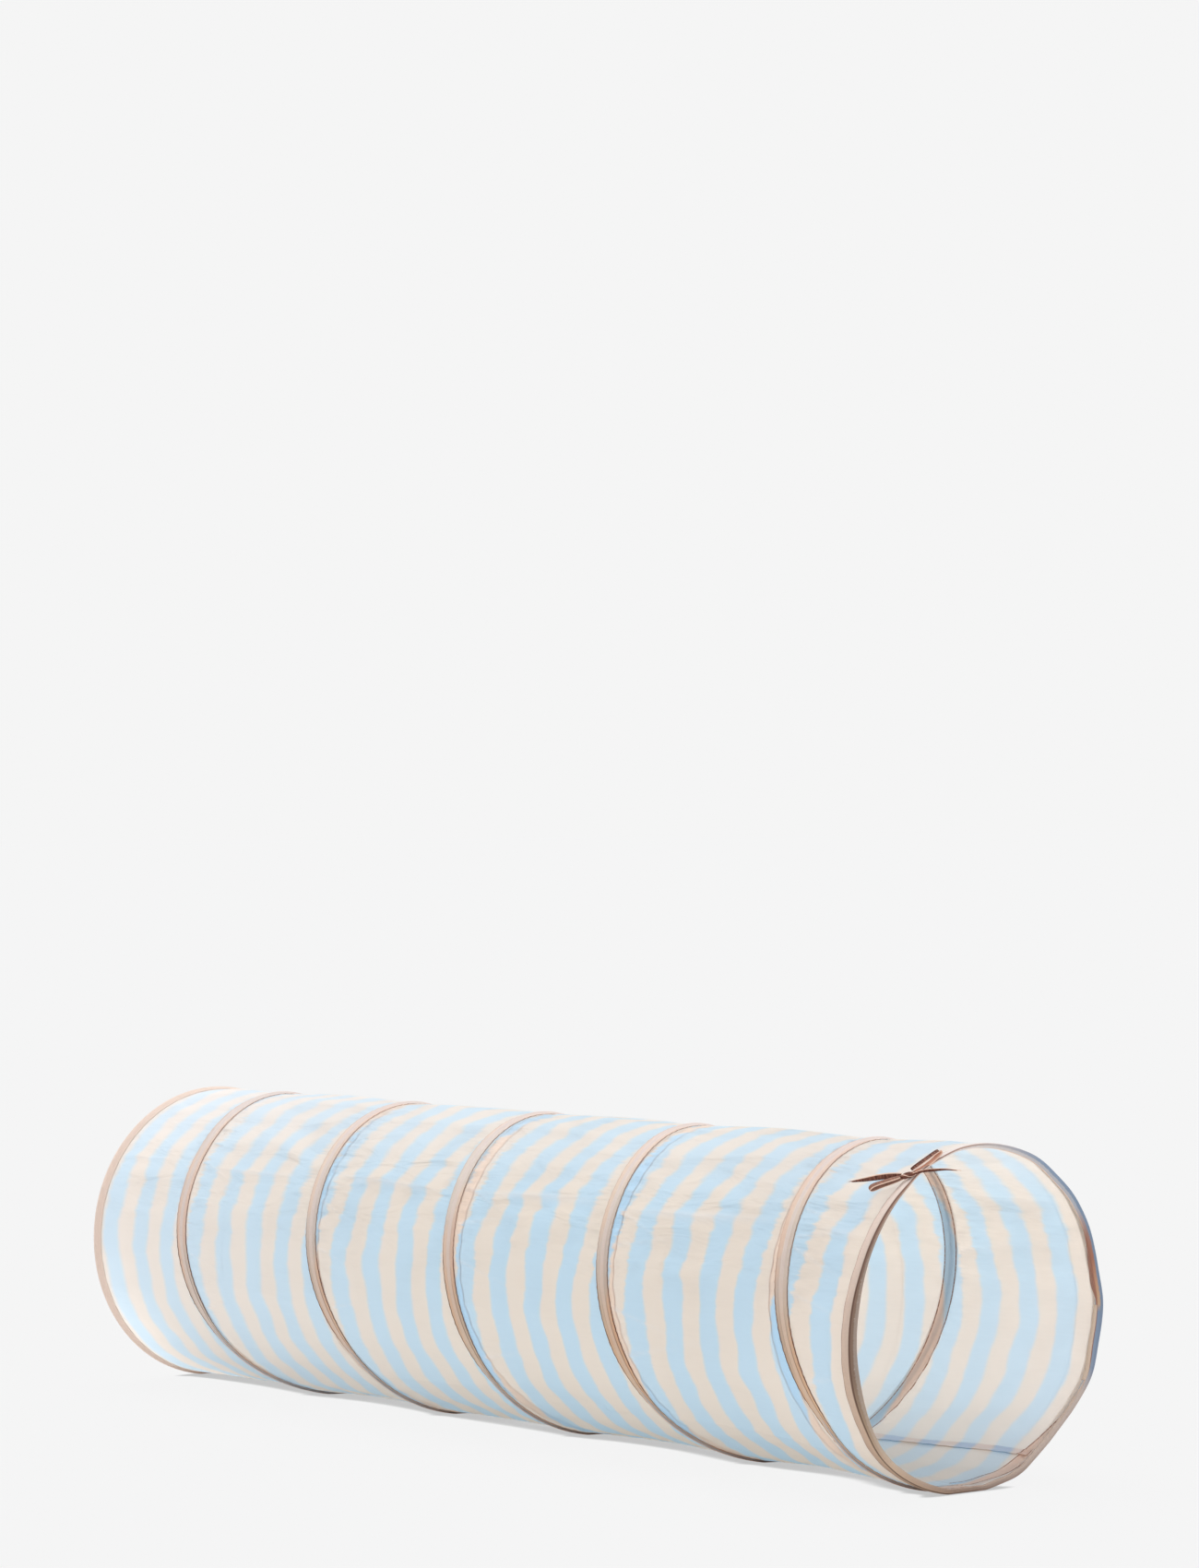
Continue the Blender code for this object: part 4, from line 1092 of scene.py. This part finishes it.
def ring_material(name):
    """The ring's tape, which takes its colours, with painted light and shade, from the part and the angle,
    with stitches and loose threads; it pales to a painted light towards the rear.

    The part runs from 0 to 1 over the outer leg, to 2 over the flange, and to 3 over the inner leg.
    """
    made, tree, output = new_material(name)
    bumps, tones = add(tree, "Group", {0: TAPE_THREAD, 1: TAPE_STREAK}, node_tree=weave).outputs
    round_ring = on_cloth(tree)[0]
    angle = maths(tree, "DIVIDE", round_ring, math.radians(OUTER_RADIUS))
    x = in_space(tree)[1][0]
    part, reverse = mark(tree, "part"), mark(tree, "reverse")
    strand_place = add(tree, "CombineXYZ", {
        0: times(tree, round_ring, STRANDS_ROUND), 1: times(tree, part, STRANDS_ACROSS)})
    strands = noise(tree, strand_place.outputs[0], Roughness=0.6)
    shifted = maths(tree, "MULTIPLY_ADD", less(tree, strands, 0.5), 0.35, part)
    # Painted light and shade by angle, for each part of the binding.
    leg, outer, inner, back = (
        ramp(tree, angle, by_angle + [(360, by_angle[0][1])], 360)
        for by_angle in (LEG_SHADED_TONES, WEB_OUTER_TONES, WEB_INNER_TONES, INNER_TONES)
    )
    colour = blended(tree, spread(tree, part, 0.86, 1.0), leg, outer)
    colour = blended(tree, spread(tree, shifted, 1.42, 1.62), colour, inner)
    colour = blended(tree, spread(tree, part, 1.90, 2.05), colour, back)
    threads = times(tree, spread(tree, strands, 0.60, 0.66), spread(tree, part, 1.3, 1.6))
    near = spread(tree, angle, 202, 223)
    # Painted shade in the fold at the rim, on top of the ring.
    fold_line = times(tree, spread(tree, apart(tree, part, 1.06), 0.12, 0.03), spread(tree, angle, 183, 196))
    sewn_line = spread(tree, apart(tree, shifted, 2.82), 0.10, 0.03)
    leg_line = spread(tree, apart(tree, part, 0.04), 0.08, 0.03)
    lines = (
        (times(tree, threads, near), 0.55, LOOSE_THREAD), (fold_line, 0.85, FOLD_SHADE_BROWN),
        (sewn_line, 0.6, SEWN_RING_BROWN), (leg_line, 0.55, LEG_LINE_BROWN),
        (less(tree, 1.0, tones), 0.16, STITCH_AND_SHADE_BROWN),
    )
    for line, strength, tone in lines:
        colour = blended(tree, times(tree, line, strength), colour, tone)
    # Painted light, paling the ring towards the rear.
    colour = blended(tree, spread(tree, x, 0, -0.8, 0.0, 0.92), colour, TAPE_LIT_PALE)
    # Painted shade on the tape's reverse inside the slit.
    first, last = SLIT_ANGLES
    slit = times(tree, spread(tree, angle, first - 2, first + 2), spread(tree, angle, last + 2, last - 2))
    slit = times(tree, slit, times(tree, spread(tree, part, 1.0, 1.2), spread(tree, x, 0.0, 0.1)))
    colour = blended(tree, reverse, colour, TAPE_REVERSE)
    colour = blended(tree, times(tree, reverse, slit), colour, SLIT_SHADE_BROWN)
    raised = add(tree, "Bump", {"Height": bumps, "Strength": 0.5, "Distance": 0.0002})
    rear_clear = spread(tree, x, 0, -0.8, 0.0, TAPE_CLEAR_SHARE)
    clear = maths(tree, "MAXIMUM", spread(tree, part, 1.0, 0.8, 0.05, 0.25), rear_clear)
    lit_through(tree, output, colour, raised.outputs[0], clear, 0.1)
    return made


def in_ring(side, angle, sides, radius):
    """Points round the ring's wire, at one angle of the ring."""
    turns = full_round(sides)
    depth = float(ring_form(4, np.array(angle))) if side > 0 else RING_WIRE_DEPTH
    x = side * (TUNNEL_END - RING_WIRE_SETBACK + radius * np.cos(turns))
    return on_tube(x, np.full(len(x), angle), depth + radius * np.sin(turns))


def ring_solid(name, rings, finish):
    """A closed piece that comes back on itself, from rings of points all along it."""
    faces, _ = band(len(rings), len(rings[0]), closed_rows=True, closed_columns=True)
    made = mesh_object(name, rings, faces.tolist(), finish=finish)
    turn_outwards(made)
    return made


ring_tape = ring_material("ring_tape")
for end, side in (("front", 1), ("rear", -1)):
    ring = ring_piece(f"{end}_ring_tape", side, ring_tape)
    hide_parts(f"{end}_ring_casing")
    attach(ring, f"{end}_end")
    rings = [in_ring(side, angle, WIRE_SIDES, WIRE_RADIUS) for angle in np.arange(0, 360, RING_WIRE_STEP)]
    wire = ring_solid(f"{end}_ring_steel", rings, wire_steel)
    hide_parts(f"{end}_ring_wire")
    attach(wire, f"{end}_end")


# Each ring's two wire ends meet in a short tan plastic sleeve, low on the far side. At the front mouth the
# binding has a slit there, so the sleeve shows.
SLEEVE_ANGLES = (64, 91)
SLEEVE_RADIUS = 0.003
SLEEVE_SIDES = 24
SLEEVE_STEPS = 28
SLEEVE_PLAY = 0.0003
SLEEVE_ROUNDING = 0.0003
SLEEVE_TANS = ((0.62, 0.46, 0.33), (0.74, 0.58, 0.44))

sleeve_plastic, tree, output = new_material("tan_plastic")
scuffs = noise(tree, add(tree, "TexCoord").outputs["Object"], 300.0)
show(tree, output, "BsdfPrincipled", {
    "Base Color": blended(tree, scuffs, *SLEEVE_TANS),
    "Roughness": spread(tree, scuffs, 0.3, 0.7, 0.42, 0.58)})

for end, side in (("front", 1), ("rear", -1)):
    bore, wall = WIRE_RADIUS + SLEEVE_PLAY, SLEEVE_RADIUS
    first, last = SLEEVE_ANGLES
    stations = [(first, bore + 0.0001), (first, wall - SLEEVE_ROUNDING), (first + 0.1, wall)]
    stations += [(angle, wall) for angle in np.linspace(first, last, SLEEVE_STEPS)[1:-1]]
    stations += [(last - 0.1, wall), (last, wall - SLEEVE_ROUNDING), (last, bore + 0.0001)]
    stations += [(angle, bore) for angle in np.linspace(last, first, SLEEVE_STEPS)]
    rings = [in_ring(side, angle, SLEEVE_SIDES, radius) for angle, radius in stations]
    sleeve = ring_solid(f"{end}_sleeve_tube", rings, sleeve_plastic)
    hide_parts(f"{end}_joining_sleeve")
    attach(sleeve, f"{end}_end")


# The floor is pale and plain, and runs on into a backdrop of the same shade, and it has a painted contact
# shadow only where the tunnel touches it. A wide soft light stands high on the left, and an even pale sky
# fills the rest.
BACKDROP_SHADE = 0.913
SKY_LEVEL = 0.69
SUN_LEVEL = 0.57
SKY_TINT = (1.0, 1.0, 1.06)
SUN_FROM = (-0.30, 0.10, 0.95)
SUN_SPREAD_DEGREES = 40
FLOOR_SIZE = 160
FLOOR_WHITE = 0.84
FLOOR_SHADOW_SHARE = 0.025
CONTACT_SHADE = 0.4
CONTACT_REACH = 0.012

bpy.ops.object.select_all(action="DESELECT")
bpy.ops.mesh.primitive_plane_add(size=FLOOR_SIZE)
floor = bpy.context.object
floor.name = floor.data.name = "floor"
floor_finish, tree, output = new_material("pale_floor")
full_light = FLOOR_WHITE * (SKY_LEVEL + SUN_LEVEL)
even = (BACKDROP_SHADE - FLOOR_SHADOW_SHARE * full_light) / (1 - FLOOR_SHADOW_SHARE)
# The painted contact shadow, darkening the floor's even glow where the tunnel is near.
open_sky = add(tree, "AmbientOcclusion", {"Distance": CONTACT_REACH}, samples=12).outputs["AO"]
shade = spread(tree, open_sky, 0.45, 1.0, even * (1 - CONTACT_SHADE), even)
plain = add(tree, "Emission", {"Color": (1, 1, 1, 1), "Strength": shade})
lit = add(tree, "BsdfDiffuse", {"Color": (FLOOR_WHITE, FLOOR_WHITE, FLOOR_WHITE, 1)})
seen = add(tree, "LightPath").outputs["Is Camera Ray"]
seen = times(tree, seen, 1 - FLOOR_SHADOW_SHARE)
show(tree, output, "MixShader", {0: seen, 1: lit.outputs[0], 2: plain.outputs[0]})
floor.data.materials.append(floor_finish)

world = bpy.data.worlds.new("pale_sky")
world.use_nodes = True
tree = world.node_tree
tree.nodes.clear()
rays = add(tree, "LightPath").outputs
seen = maths(tree, "MAXIMUM", rays["Is Glossy Ray"], rays["Is Transmission Ray"])
seen = maths(tree, "MAXIMUM", rays["Is Camera Ray"], seen)
strength = spread(tree, seen, 0, 1, SKY_LEVEL, BACKDROP_SHADE)
sky = add(tree, "Background", {"Color": blended(tree, seen, SKY_TINT, (1, 1, 1)), "Strength": strength})
tree.links.new(sky.outputs[0], add(tree, "OutputWorld").inputs[0])
bpy.context.scene.world = world

bpy.ops.object.light_add(type="SUN", location=[4 * way for way in SUN_FROM])
sun = bpy.context.object
sun.rotation_euler = Vector(SUN_FROM).to_track_quat("Z", "Y").to_euler()
sun.data.angle = math.radians(SUN_SPREAD_DEGREES)
sun.data.energy = SUN_LEVEL * math.pi / Vector(SUN_FROM).normalized().z
